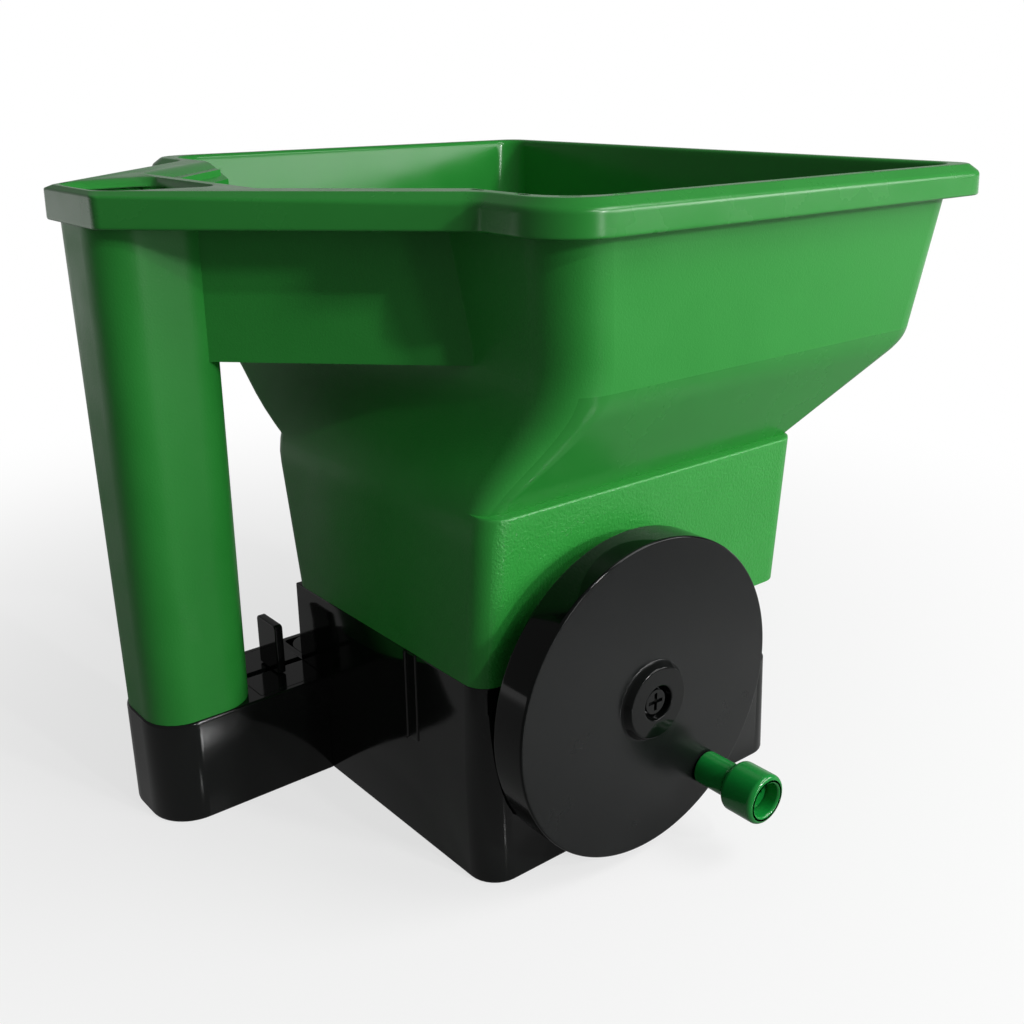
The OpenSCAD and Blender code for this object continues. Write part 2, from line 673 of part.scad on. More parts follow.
module bush_floor() {
  color(brass) difference() {
    union() {
      bar(spin_x, spin_y, floor_low_z - 1.2, floor_low_z, bush_r + 2);
      bar(spin_x, spin_y, floor_low_z - 0.2, floor_top + 0.6, bush_r);
    }
    bar(spin_x, spin_y, 0, 90, shaft_r + run_play);
  }
}

module agitator() {
  color(nylon) difference() {
    union() {
      bar(spin_x, spin_y, floor_top + 1, floor_top + 12, 6.5);
      for (a = [0, 180]) translate([spin_x, spin_y, 0]) rotate([0, 0, a + 40]) {
        translate([5, -2, floor_top + 3]) cube([19, 4, 4]);
        translate([20, -2, floor_top + 3]) cube([4, 4, 16]);
      }
    }
    bar(spin_x, spin_y, 0, 90, shaft_r);
  }
}

// pan head screw standing upright: head under z, shank up
module screw_up(x, y, z, l, r, hr, hh) {
  color(steel) {
    bar(x, y, z - hh, z, hr);
    bar(x, y, z - 0.2, z + l, r);
  }
}

// pan head screw with its head on top of z and its shank down
module screw_down(x, y, z, l, r, hr, hh) {
  color(steel) {
    bar(x, y, z, z + hh, hr);
    bar(x, y, z - l, z + 0.2, r);
  }
}

module handle_screw() {
  screw_up(handle_x, 0, 6, 11, 1.5, 3.1, 2.4);
}

module hopper_screw(i) {
  screw_up(hopper_lugs[i][0], hopper_lugs[i][1], floor_low_z - 8, 16, 1.5, 3, 2.2);
}

module deck_screw(i) {
  screw_down(deck_posts[i][0], deck_posts[i][1], tray_h, 9, 1.25, 2.6, 1.8);
}

module guide_screw(i) {
  screw_up(guide_pts[i][0], guide_pts[i][1], guide_top - guide_t, 6.8, 1.25, 2.5, 1.6);
}

hopper();
hopper_floor();
handle_tube();
base_housing();
deck_plate();
neck_cover();
gate_guide();
gate_slide();
crank_wheel();
axle_bolt();
axle_washer();
axle_insert();
crank_knob();
knob_screw();
pinion_gear();
pinion_shaft();
pinion_clip();
bush_outer();
bush_inner();
mitre_drive();
mitre_driven();
spinner_shaft();
spinner_disc();
spinner_clip();
thrust_washer();
bush_lower();
bush_deck();
bush_floor();
agitator();
handle_screw();
hopper_screw(0);  // hopper_screw_1
hopper_screw(1);  // hopper_screw_2
hopper_screw(2);  // hopper_screw_3
hopper_screw(3);  // hopper_screw_4
deck_screw(0);  // deck_screw_1
deck_screw(1);  // deck_screw_2
deck_screw(2);  // deck_screw_3
deck_screw(3);  // deck_screw_4
guide_screw(0);  // guide_screw_1
guide_screw(1);  // guide_screw_2
guide_screw(2);  // guide_screw_3
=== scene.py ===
import math

import bmesh
import bpy
import numpy as np
from mathutils import Matrix, Vector
from mathutils.geometry import tessellate_polygon


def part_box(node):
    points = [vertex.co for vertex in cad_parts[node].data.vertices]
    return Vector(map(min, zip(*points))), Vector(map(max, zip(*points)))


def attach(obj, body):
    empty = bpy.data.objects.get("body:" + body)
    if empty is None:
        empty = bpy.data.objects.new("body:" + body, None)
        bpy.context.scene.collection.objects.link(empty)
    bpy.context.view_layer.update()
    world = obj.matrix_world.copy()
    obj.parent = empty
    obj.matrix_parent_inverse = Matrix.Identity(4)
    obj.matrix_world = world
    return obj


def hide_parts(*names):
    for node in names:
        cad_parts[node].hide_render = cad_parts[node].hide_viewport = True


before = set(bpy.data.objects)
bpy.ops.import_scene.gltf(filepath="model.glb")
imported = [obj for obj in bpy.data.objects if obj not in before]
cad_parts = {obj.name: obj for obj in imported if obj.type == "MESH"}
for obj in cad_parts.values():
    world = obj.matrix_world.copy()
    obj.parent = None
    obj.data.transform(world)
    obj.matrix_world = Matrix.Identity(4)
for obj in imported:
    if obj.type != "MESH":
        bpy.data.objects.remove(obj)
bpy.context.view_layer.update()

# Base
# The black case that carries everything: tray, tall side walls, neck and handle socket in one moulding.
# Polished black ABS from a mirror-finished mould; it stands on the table and the hopper is screwed to it.
MM = 0.001
sharp_r = 0.02


def node_box(name):
    """Lowest and highest corner of a CAD node, in millimetres."""
    low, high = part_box(name)
    return np.array(low) / MM, np.array(high) / MM


def rounded_outline(corners, steps=8, hold=0.4):
    """Closed outline through corners (x, y, radius). Each corner becomes the arc that touches both its sides:
    centre = corner + bisector * r / sin(h), touch points = corner + side * r / tan(h), with h half the
    corner's angle. One more point stands on each side, hold past the arc, so that the flat between two arcs
    shades flat. No radius is smaller than sharp_r."""
    given = np.asarray(corners, float)
    tip, radius = given[:, :2], np.maximum(given[:, 2:], sharp_r)
    back = np.roll(tip, 1, 0) - tip
    ahead = np.roll(tip, -1, 0) - tip
    back /= np.linalg.norm(back, axis=1, keepdims=True)
    ahead /= np.linalg.norm(ahead, axis=1, keepdims=True)
    half = np.arccos(np.clip((back * ahead).sum(1, keepdims=True), -1, 1)) / 2
    reach = radius / np.tan(half)
    middle = back + ahead
    middle /= np.linalg.norm(middle, axis=1, keepdims=True)
    centre = tip + middle * radius / np.sin(half)
    first = (tip + back * reach - centre)[:, None]
    last = (tip + ahead * reach - centre)[:, None]
    span = (np.pi - 2 * half)[:, None]
    s = np.linspace(0, 1, steps + 1)[None, :, None]
    arc = centre[:, None] + (np.sin((1 - s) * span) * first + np.sin(s * span) * last) / np.sin(span)
    before = (tip + back * (reach + hold))[:, None]
    after = (tip + ahead * (reach + hold))[:, None]
    return np.concatenate([before, arc, after], 1).reshape(-1, 2)


def plate_outline(a0, a1, b0, b1, radius, steps=8, hold=0.4):
    """Rectangle from a0 to a1 and b0 to b1 with one corner radius."""
    corners = [(a0, b0, radius), (a1, b0, radius), (a1, b1, radius), (a0, b1, radius)]
    return rounded_outline(corners, steps, hold)


def even_outline(rear, front, rear_half, front_half, rear_r, front_r):
    """Four-cornered outline that lies evenly on both sides of y = 0, with its own half width and corner
    radius at each end."""
    corners = [(rear, -rear_half, rear_r), (front, -front_half, front_r), (front, front_half, front_r)]
    return rounded_outline(corners + [(rear, rear_half, rear_r)], steps=14)


def moved_in(loop, distance):
    """The outline with every point moved by distance against its outward normal, which is the tangent turned
    clockwise."""
    tangent = np.roll(loop, -1, 0) - np.roll(loop, 1, 0)
    normal = np.column_stack([tangent[:, 1], -tangent[:, 0]])
    normal /= np.linalg.norm(normal, axis=1, keepdims=True)
    return loop - normal * distance


def at_height(loop, z):
    """The flat outline lifted to height z."""
    return np.column_stack([loop, np.full(len(loop), float(z))])


def skin(rows, ring=False, inward=False):
    """Quads over a grid of points (row, column, xyz) whose columns close on themselves. With ring the last
    row joins the first; inward turns the faces round. Upward rows of a counterclockwise outline face
    outwards."""
    rows = np.asarray(rows, float)
    count, around = rows.shape[:2]
    r = np.arange(count if ring else count - 1)[:, None]
    c = np.arange(around)[None, :]
    r_next = (r + 1) % count
    c_next = (c + 1) % around
    corners = [r * around + c, r * around + c_next, r_next * around + c_next, r_next * around + c]
    faces = np.stack(corners, -1).reshape(-1, 4)
    return rows.reshape(-1, 3), faces[:, ::-1] if inward else faces


def flat(loops, z, up=True, sliver=1e-9):
    """Triangles over the region inside the first outline and outside the others, at height z. A triangle is
    left out when the cross product of its sides isn't above sliver."""
    points = np.concatenate(loops)
    lines = [list(map(Vector, at_height(loop, 0).tolist())) for loop in loops]
    tris = np.array(tessellate_polygon(lines))
    a, b, c = points[tris[:, 0]], points[tris[:, 1]], points[tris[:, 2]]
    area = (b[:, 0] - a[:, 0]) * (c[:, 1] - a[:, 1]) - (b[:, 1] - a[:, 1]) * (c[:, 0] - a[:, 0])
    tris = np.where(((area > 0) == up)[:, None], tris, tris[:, ::-1])
    return at_height(points, z), tris[np.abs(area) > sliver]


def edge_arc(radius, steps=4):
    """Quarter round of an edge: how far in and how far along each of its points lies, from the face to the
    side. At the angle t these are r (1 - sin t) and r (1 - cos t)."""
    turn = np.linspace(0, np.pi / 2, steps + 1)
    return radius * (1 - np.sin(turn)), radius * (1 - np.cos(turn))


def slab(loop, low, high, edge, margin=1.4):
    """A closed plate: the outline carried from low to high, with both its edges rounded by arcs of radius
    edge. A row of points margin times that radius in from the outline keeps its two faces flat."""
    inset, lift = edge_arc(edge)
    inset = np.concatenate([[edge * margin], inset])
    lift = np.concatenate([[0], lift])
    insets = np.concatenate([inset, inset[::-1]])
    heights = np.concatenate([low + lift, high - lift[::-1]])
    rows = [at_height(moved_in(loop, i), z) for i, z in zip(insets, heights)]
    return [skin(rows), flat([rows[0][:, :2]], low, up=False), flat([rows[-1][:, :2]], high)]


def facing_x(sheets):
    """Sheets drawn in (y, z) with their thickness along x: the axes turn round by one place."""
    return [(points[:, [2, 0, 1]], faces) for points, faces in sheets]


def turned(outline, x, z, steps=96, ring=True):
    """An outline of (radius, distance along -Y), closed with ring, turned about the axis through x and z."""
    angle = np.linspace(0, 2 * np.pi, steps, endpoint=False)[None, :]
    radius, out = outline[:, :1], outline[:, 1:]
    rows = np.stack([x + radius * np.cos(angle), -out + 0 * angle, z + radius * np.sin(angle)], -1)
    return skin(rows, ring=ring)


def make_piece(name, *finished, sharp=32):
    """One mesh from groups of sheets in millimetres, given as (sheets, material): points no further apart
    than same_point metres are merged, and only edges that turn by more than sharp degrees stay sharp."""
    same_point, no_length = 2e-6, 1e-6
    sheets = [sheet for group, _ in finished for sheet in group]
    starts = np.cumsum([0] + [len(points) for points, _ in sheets])
    points = np.concatenate([points for points, _ in sheets]) * MM
    faces = [face for (_, part), start in zip(sheets, starts) for face in (part + start).tolist()]
    face_counts = [sum(len(part) for _, part in group) for group, _ in finished]
    mesh = bpy.data.meshes.new(name)
    mesh.from_pydata(points.tolist(), [], faces)
    mesh.polygons.foreach_set("material_index", np.repeat(np.arange(len(finished)), face_counts))
    for _, material in finished:
        mesh.materials.append(material)
    work = bmesh.new()
    work.from_mesh(mesh)
    bmesh.ops.remove_doubles(work, verts=work.verts, dist=same_point)
    bmesh.ops.dissolve_degenerate(work, dist=no_length, edges=work.edges)
    work.to_mesh(mesh)
    work.free()
    mesh.polygons.foreach_set("use_smooth", np.ones(len(mesh.polygons), bool))
    mesh.set_sharp_from_angle(angle=math.radians(sharp))
    piece = bpy.data.objects.new(name, mesh)
    bpy.context.scene.collection.objects.link(piece)
    return piece


def mould_skin_group():
    """Shader group for moulded plastic: a fine erosion grain, a slow ripple from shrinkage and a mottle of
    pigment, all on Object coordinates."""
    group = bpy.data.node_groups.new("mould_skin", "ShaderNodeTree")
    for label in ("Grain Scale", "Ripple Scale", "Mottle Scale"):
        group.interface.new_socket(label, in_out="INPUT", socket_type="NodeSocketFloat")
    for label in ("Grain", "Ripple", "Mottle"):
        group.interface.new_socket(label, in_out="OUTPUT", socket_type="NodeSocketFloat")
    nodes, links = group.nodes, group.links
    given = nodes.new("NodeGroupInput")
    made = nodes.new("NodeGroupOutput")
    place = nodes.new("ShaderNodeTexCoord")
    for label, detail in (("Grain", 3.0), ("Ripple", 1.0), ("Mottle", 4.0)):
        noise = nodes.new("ShaderNodeTexNoise")
        noise.inputs["Detail"].default_value = detail
        links.new(place.outputs["Object"], noise.inputs["Vector"])
        links.new(given.outputs[label + " Scale"], noise.inputs["Scale"])
        links.new(noise.outputs["Fac"], made.inputs[label])
    return group


def mix_colour(nodes, links, factor, first, second):
    """Colour between first and second by a factor socket; each colour is a socket or a plain value."""
    mix = nodes.new("ShaderNodeMix")
    mix.data_type = "RGBA"
    links.new(factor, mix.inputs["Factor"])
    for socket, colour in ((mix.inputs["A"], first), (mix.inputs["B"], second)):
        if isinstance(colour, bpy.types.NodeSocket):
            links.new(colour, socket)
        else:
            socket.default_value = (*colour, 1)
    return mix.outputs["Result"]


mottle_scale, mottle_range = 55, (0.3, 0.7)


def moulded_plastic(name, dark, light, rough, grain, ripple, specular=0.5):
    """Moulded plastic: pigment mottle between dark and light, roughness that follows the mottle between the
    two values of rough, bump from grain (scale, depth in mm) and ripple (scale, depth in mm)."""
    material = bpy.data.materials.new(name)
    material.use_nodes = True
    nodes, links = material.node_tree.nodes, material.node_tree.links
    shader = nodes["Principled BSDF"]
    shader.inputs["Specular IOR Level"].default_value = specular
    skin_node = nodes.new("ShaderNodeGroup")
    skin_node.node_tree = mould_skin
    skin_node.inputs["Grain Scale"].default_value = grain[0]
    skin_node.inputs["Ripple Scale"].default_value = ripple[0]
    skin_node.inputs["Mottle Scale"].default_value = mottle_scale
    colour = mix_colour(nodes, links, skin_node.outputs["Mottle"], dark, light)
    links.new(colour, shader.inputs["Base Color"])
    shine = nodes.new("ShaderNodeMapRange")
    shine.inputs["From Min"].default_value, shine.inputs["From Max"].default_value = mottle_range
    shine.inputs["To Min"].default_value, shine.inputs["To Max"].default_value = rough
    links.new(skin_node.outputs["Mottle"], shine.inputs["Value"])
    links.new(shine.outputs["Result"], shader.inputs["Roughness"])
    normal = None
    for label, depth in (("Ripple", ripple[1]), ("Grain", grain[1])):
        bump = nodes.new("ShaderNodeBump")
        bump.inputs["Distance"].default_value = depth * MM
        links.new(skin_node.outputs[label], bump.inputs["Height"])
        if normal:
            links.new(normal, bump.inputs["Normal"])
        normal = bump.outputs["Normal"]
    links.new(normal, shader.inputs["Normal"])
    return material


mould_skin = mould_skin_group()
polished_black = moulded_plastic(
    "polished_black", (0.0035, 0.0045, 0.004), (0.006, 0.007, 0.0065), (0.06, 0.12), (900, 0.002), (45, 0.05),
    specular=0.4)

base_low, base_high = node_box("base_housing")
cover_low, cover_high = node_box("neck_cover")
cover_clear = 0.1
tray_h = cover_high[2]
wall_top = base_high[2]
base_rear = cover_high[0] + cover_clear
base_front = base_high[0]
base_far = base_high[1]
boss_rear = base_low[0]
base_wall = 2.4
foot_near = -113.2
wall_near = -110.0
upper_far = -1.0
side_front = 32.0
corner_r, corner_loss = 10.0, 2.0
tray_far_r, least_r = 4.0, 1.0
boss_r, neck_front_r = 14.5, 1.5
foot_edge, foot_margin = 1.2, 0.4
wall_edge, crisp_r, lip_r = 0.5, 0.05, 0.3
wall_skin = 0.03
strip_t = wall_skin * 4
strip_short, strip_return = 2.0, 1.0


def near_at(z):
    """The near wall leans in evenly from the foot to the top of the walls."""
    return foot_near + (wall_near - foot_near) * z / wall_top


def tray_outline(z, inset=0.0):
    """Tray at height z: a rectangle with rounded corners, the far rear one tighter, moved in by inset."""
    x0, x1 = base_rear + wall_skin + inset, base_front - inset
    y0, y1 = near_at(z) + wall_skin + inset, base_far - inset
    r, far_r = max(corner_r - inset, least_r), max(tray_far_r - inset, least_r)
    return rounded_outline([(x0, y0, r), (x1, y0, r), (x1, y1, r), (x0, y1, far_r)])


def wall_outline(z, inset=0.0, low=False):
    """The tall wall at height z as one closed strip: near side, rear and far side outside, then back inside.
    The low strip lies in the skin of the tray's near and rear sides and ends inside the neck."""
    y0 = near_at(z)
    soft = corner_r - corner_loss * max(z - tray_h, 0) / (wall_top - tray_h)
    thick = strip_t + inset if low else base_wall - inset
    outer_x, inner_x = base_rear + inset, base_rear + thick
    front = side_front - inset
    far = strip_short - base_far if low else upper_far - inset
    far_in = far - base_wall + inset
    far_front = inner_x + strip_return if low else front
    return rounded_outline([
        (outer_x, y0 + inset, soft - inset), (front, y0 + inset, crisp_r), (front, y0 + thick, crisp_r),
        (inner_x, y0 + thick, soft - thick), (inner_x, far_in, lip_r), (far_front, far_in, lip_r),
        (far_front, far, lip_r), (outer_x, far, crisp_r)], hold=0.02)


foot_in, foot_lift = edge_arc(foot_edge)
top_in, top_drop = edge_arc(wall_edge)
top_round = list(zip(top_in[::-1], top_drop[::-1]))
tray_rows = [at_height(tray_outline(0, foot_edge + foot_margin), 0)]
tray_rows += [at_height(tray_outline(z, i), z) for i, z in zip(foot_in, foot_lift)]
tray_rows += [at_height(tray_outline(tray_h, i), tray_h - d) for i, d in top_round]
tray_rows += [at_height(tray_outline(z, base_wall), z) for z in (tray_h, base_wall)]
wall_heights = (tray_h, 48, 58, wall_top - wall_edge)
foot_rows = [at_height(wall_outline(z, i, True), max(z, wall_skin)) for i, z in zip(foot_in, foot_lift)]
wall_rows = foot_rows + [at_height(wall_outline(tray_h, 0, True), tray_h)]
wall_rows += [at_height(wall_outline(z), z) for z in wall_heights]
wall_rows += [at_height(wall_outline(wall_top, i), wall_top - d) for i, d in top_round]
neck_front = base_rear + base_wall / 2
neck_loop = even_outline(boss_rear, neck_front, base_far, base_far, boss_r, neck_front_r)
neck_edge, neck_margin = 1.0, 1.3
neck_in, neck_drop = edge_arc(neck_edge)
neck_rows = [at_height(moved_in(neck_loop, foot_edge + foot_margin), 0)]
neck_rows += [at_height(moved_in(neck_loop, i), z) for i, z in zip(foot_in, foot_lift)]
neck_rows += [at_height(moved_in(neck_loop, i), tray_h - d) for i, d in zip(neck_in[::-1], neck_drop[::-1])]
neck_rows += [at_height(moved_in(neck_loop, neck_margin), tray_h)]
cover_gap, seat_front, seat_r = 0.12, 0.05, 0.4
cover_seat = plate_outline(
    cover_low[0] - cover_gap, base_rear - seat_front, cover_low[1] - cover_gap, cover_high[1] + cover_gap,
    seat_r, steps=3, hold=0.1)
channel_deep = 3.4
channel_low = cover_low[2] - channel_deep
channel_rows = [at_height(cover_seat, z) for z in (channel_low, tray_h)]
base_sheets = [
    skin(tray_rows), flat([tray_rows[0][:, :2]], 0, up=False), flat([tray_rows[-1][:, :2]], base_wall),
    skin(wall_rows), flat([wall_rows[-1][:, :2]], wall_top), flat([wall_rows[0][:, :2]], wall_skin, up=False),
    skin(neck_rows), flat([neck_rows[0][:, :2]], 0, up=False),
    flat([neck_rows[-1][:, :2], cover_seat], tray_h),
    skin(channel_rows, inward=True), flat([cover_seat], channel_low)]

# the low upright rib on the rear wall with a bead along its far edge
rib_near, bead_near, rib_far = -76.6, -71.9, -70.6
rib_proud, bead_proud, rib_root = 0.45, 1.1, 1.0
rib_foot, rib_head = tray_h - 0.5, wall_top - 0.1
rib_foot_r, rib_head_r, rib_edge = 0.6, 0.1, 0.42
for near, proud in ((rib_near, rib_proud), (bead_near, bead_proud)):
    rib_loop = rounded_outline([
        (near, rib_foot, rib_foot_r), (rib_far, rib_foot, rib_foot_r), (rib_far, rib_head, rib_head_r),
        (near, rib_head, rib_head_r)])
    base_sheets += facing_x(slab(rib_loop, base_rear - proud, base_rear + rib_root, rib_edge))

# the boss that holds the crank's axle, and four lugs inside the walls for the hopper's screws
wheel_low, wheel_high = node_box("crank_wheel")
wheel_x = (wheel_low[0] + wheel_high[0]) / 2
wheel_z = (wheel_low[2] + wheel_high[2]) / 2
boss_in, boss_out = 104.0, -base_low[1]
axle_boss_r, axle_bore_r = 9.0, 4.25
axle_boss = rounded_outline([
    (axle_boss_r, boss_in, 0.3), (axle_boss_r, boss_out, 0.6), (axle_bore_r, boss_out, 0.3),
    (axle_bore_r, boss_in, 0.3)])
base_sheets.append(turned(axle_boss, wheel_x, wheel_z, steps=64))
lug_low, lug_high, lug_half = 59.6, 67.6, 5.5
lug_lap, lug_r, lug_edge = 1.0, 1.0, 0.4
for number, reach_y in enumerate((-1, 1, -1, 1), 1):
    screw_low, screw_high = node_box(f"hopper_screw_{number}")
    lug_x, lug_y = (screw_low[:2] + screw_high[:2]) / 2
    lug_back = upper_far - lug_lap if reach_y > 0 else wall_near + lug_lap
    y_pair = sorted((lug_y - reach_y * lug_half, lug_back))
    lug = plate_outline(lug_x - lug_half, lug_x + lug_half, *y_pair, lug_r)
    base_sheets += slab(lug, lug_low, lug_high, lug_edge)

base_shell = make_piece("base_shell", (base_sheets, polished_black))
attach(base_shell, "frame")
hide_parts("base_housing")

# Neck cover
# Flat black plate pressed into the top of the neck; its slot lets the gate's stem through.
# Same polished moulding as the base, with a hairline seam all round.
slot_land, slot_half = 1.5, 1.5
slot_rear = cover_low[0] + slot_land
cover_edge = 0.25
cover_r, slot_mouth_r, slot_r = 0.6, 0.3, 1.3
cover_loop = rounded_outline([
    (cover_low[0], cover_low[1], cover_r), (cover_high[0], cover_low[1], cover_r),
    (cover_high[0], -slot_half, slot_mouth_r), (slot_rear, -slot_half, slot_r),
    (slot_rear, slot_half, slot_r), (cover_high[0], slot_half, slot_mouth_r),
    (cover_high[0], cover_high[1], cover_r), (cover_low[0], cover_high[1], cover_r)], steps=5, hold=0.15)
cover_sheets = slab(cover_loop, cover_low[2], cover_high[2], cover_edge)
neck_plate = make_piece("neck_plate", (cover_sheets, polished_black))
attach(neck_plate, "frame")
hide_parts("neck_cover")

# Gate
# One black moulding that is pulled with a finger: upright tab, thin stem through the cover, arm, riser and
# blade. It slides to the rear under the hopper's floor; the tab's edges are broken, not sharp.
gate_low, gate_high = node_box("gate_slide")
gate_play = 0.4
tab_rear = gate_low[0]
tab_t = 3.1
tab_half = 7.0
tab_top = 57.0
tab_foot = tray_h + gate_play
tab_foot_r, tab_top_r, tab_edge = 0.6, 1.4, 0.55
stem_half, stem_lap, stem_in = 1.0, 2.0, 0.1
stem_corner, stem_edge = 0.4, 0.3
arm_low = gate_low[2]
arm_high = cover_low[2] - gate_play
arm_far = 3.0
riser_set = 10.9
riser_x = base_rear + base_wall + riser_set
riser_near, riser_far = -14.0, -8.0
blade_t = 2.0
blade_high = gate_high[2]
blade_low = blade_high - blade_t
riser_corner, blade_corner, blade_edge = 0.5, 1.0, 0.4
fine = {"steps": 5, "hold": 0.2}
tab_loop = rounded_outline([
    (-tab_half, tab_foot, tab_foot_r), (tab_half, tab_foot, tab_foot_r), (tab_half, tab_top, tab_top_r),
    (-tab_half, tab_top, tab_top_r)], steps=6, hold=0.2)
stem_loop = plate_outline(-stem_half, stem_half, arm_low, tab_foot + stem_lap, stem_corner, **fine)
arm_loop = plate_outline(tab_rear, riser_x + tab_t, riser_near, arm_far, blade_corner, **fine)
riser_loop = plate_outline(riser_near, riser_far, arm_low, blade_high, riser_corner, **fine)
blade_loop = plate_outline(riser_x, gate_high[0], gate_low[1], riser_far, blade_corner, **fine)
gate_sheets = facing_x(slab(tab_loop, tab_rear, tab_rear + tab_t, tab_edge))
gate_sheets += facing_x(slab(stem_loop, tab_rear + stem_in, tab_rear + tab_t - stem_in, stem_edge))
gate_sheets += slab(arm_loop, arm_low, arm_high, blade_edge)
gate_sheets += facing_x(slab(riser_loop, riser_x, riser_x + tab_t, blade_edge))
gate_sheets += slab(blade_loop, blade_low, blade_high, blade_edge)
finger_gate = make_piece("finger_gate", (gate_sheets, polished_black))
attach(finger_gate, "gate")
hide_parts("gate_slide")

# Hopper
# The green tub and the trough towards the handle, in one polypropylene moulding with the rim and the tube.
# Spark-eroded grain outside, coarser on the narrow box and smooth on the near slope; it stands on the base.
# The box's near face has a lighter green, painted light; the near slope, the rim and the inside have a darker
# green, painted shade.
hopper_low, hopper_high = node_box("hopper")
rim_top = hopper_high[2]
rim_depth = 10.4
rim_low = rim_top - rim_depth
rim_front = hopper_high[0]
rim_half = hopper_high[1]
rim_end = hopper_low[0]
rim_rear = -54.0
flare_set = 19.8
rim_flare = rim_end - flare_set
tub_wall = 2.4
rim_under = rim_top - tub_wall
box_low = hopper_low[2]
box_top = 122.0
shoulder = 150.0
trough_low = 158.0
trough_sum = 116.5
root2 = math.sqrt(2)

satin_green = moulded_plastic(
    "satin_green", (0.022, 0.268, 0.034), (0.028, 0.306, 0.042), (0.36, 0.46), (1500, 0.06), (60, 0.05),
    specular=0.4)
# the tub's green made lighter for the box's near face: painted light, with a coarser grain
coarse_green_painted_light = moulded_plastic(
    "coarse_green_painted_light", (0.026, 0.295, 0.039), (0.033, 0.34, 0.049), (0.27, 0.37), (1100, 0.24), (60, 0.05),
    specular=0.55)
# the tub's green made darker for the rim and the near slope: painted shade, with a smoother finish
rim_green_painted_shade = moulded_plastic(
    "rim_green_painted_shade", (0.020, 0.234, 0.030), (0.025, 0.266, 0.037), (0.22, 0.3), (1500, 0.006), (60, 0.05),
    specular=0.45)
# the tub's green made darker for the inside of the tub and trough: painted shade, with glossier walls
inner_green_painted_shade = moulded_plastic(
    "inner_green_painted_shade", (0.019, 0.232, 0.030), (0.024, 0.264, 0.036), (0.14, 0.22), (1500, 0.006), (40, 0.1),
    specular=0.25)

# tub outline at four heights: rear x, front x, near y and far y, then the radii of the corners near rear,
# near front, far front and far rear
tub_levels = np.array([box_low, box_top, shoulder, rim_top - 1])
tub_sides = np.array([
    [base_rear, 72.5, wall_near, upper_far, 8, 8, 8, 6],
    [base_rear + 2, 74.3, -107.2, 13.2, 8, 3, 7.7, 5.7],
    [rim_rear + 15.5, rim_front - 13.5, 13.2 - rim_half, rim_half - 13.2, 17, 15, 15, 17],
    [rim_rear + 7.5, rim_front - 7, 7 - rim_half, rim_half - 7, 17, 12, 12, 17]])
ledge = np.array([0, 0.3, -4.3, 0.3, 0, 5, 0.3, 0.3])
ledge_edge = 0.7
inset_signs = np.array([1, -1, 1, -1, -1, -1, -1, -1])
box_soft = np.array([9, *[0.05] * 7])
shoulder_soft = np.array([14, *[4] * 7])
kink_rise = np.array([0, 0.6, 0.9, 0])


def tub_values(z, inset=0.0, step=1.0):
    """Sides and radii of the tub at height z: straight between the levels, with each kink rounded over a
    width w by the ramp (t + w)^2 / 4w, t being the height above the kink. Inside, the kinks lie higher by
    part of the wall. With step below 1 the box's ledge is added, full at 0 and growing evenly from the
    box's lower edge."""
    level = tub_levels + kink_rise * inset
    slope = np.diff(tub_sides, axis=0) / np.diff(level)[:, None]
    values = tub_sides[0] + slope[0] * (z - level[0])
    values = values + ledge * (1 - step) * (z - box_low) / (box_top - box_low)
    for i, width in ((1, box_soft), (2, shoulder_soft)):
        t = z - level[i]
        above = np.where(t > width, t, (t + width) ** 2 / (4 * width))
        values = values + (slope[i] - slope[i - 1]) * np.where(t < -width, 0, above)
    return values + inset * inset_signs


def tub_corners(z, inset=0.0, step=1.0):
    """The tub's four corners at height z, counterclockwise from near rear."""
    x0, x1, y0, y1, *radii = tub_values(z, inset, step)
    return [(x0, y0, radii[0]), (x1, y0, radii[1]), (x1, y1, radii[2]), (x0, y1, radii[3])]


def tub_outline(z, inset=0.0, step=1.0):
    """The tub alone at height z."""
    return rounded_outline(tub_corners(z, inset, step))


def split_rear(sheet):
    """The tub's skin in two sheets: near side and front, then rear and far side, parted at the middle of the
    corners between them."""
    points, faces = sheet
    corner_points = 11
    column = np.arange(len(faces)) % (4 * corner_points)
    rear = (column >= 2.5 * corner_points) | (column < corner_points / 2)
    return (points, faces[~rear]), (points, faces[rear])


inner_join, outer_join = 2.5, 0.8


def tub_and_trough(z, inset, rear_end, widened=0.0):
    """The tub at height z with the trough opening out of its rear wall, whose sides keep |x| + |y| constant;
    widened adds to that sum."""
    corners = tub_corners(z, inset)
    x0 = corners[0][0]
    reach = trough_sum - inset * root2 + widened
    join = inner_join if inset else outer_join
    mouth = [(x0, reach + x0, join)] + rear_end + [(x0, -reach - x0, join)]
    return rounded_outline(corners + mouth, hold=0.3)


handle_low, handle_high = node_box("handle_tube")
handle_x = (handle_low[0] + handle_high[0]) / 2
handle_half_top = (handle_high[0] - handle_low[0]) / 2
handle_half_low = 18.5
handle_r = 13.0
divider_set = 19.4
divider = handle_x + divider_set + tub_wall
# the trough's rear end lies in the middle of the handle tube's wall, where it doesn't show
tube_wall_half = [(-98.9, 17.6, 0), (-93.6, 12.1, 0), (-92.2, 6.2, 0)]
outer_end = tube_wall_half + [(x, -y, r) for x, y, r in tube_wall_half[::-1]]
inner_sum = trough_sum - tub_wall * root2
trough_floor = trough_low + tub_wall
mouth_edge = 1.5
funnel, funnel_drop = 15.0, 6.0
trough_end_r = 2.0


def inside_outline(z):
    """Inside of tub and trough at height z; towards the rim the trough's sides open out evenly like a
    funnel."""
    widened = funnel * max(1 - (rim_top - z) / funnel_drop, 0)
    half = inner_sum + widened + divider
    rear_end = [(divider, half, trough_end_r), (divider, -half, trough_end_r)]
    return tub_and_trough(z, tub_wall, rear_end, widened)


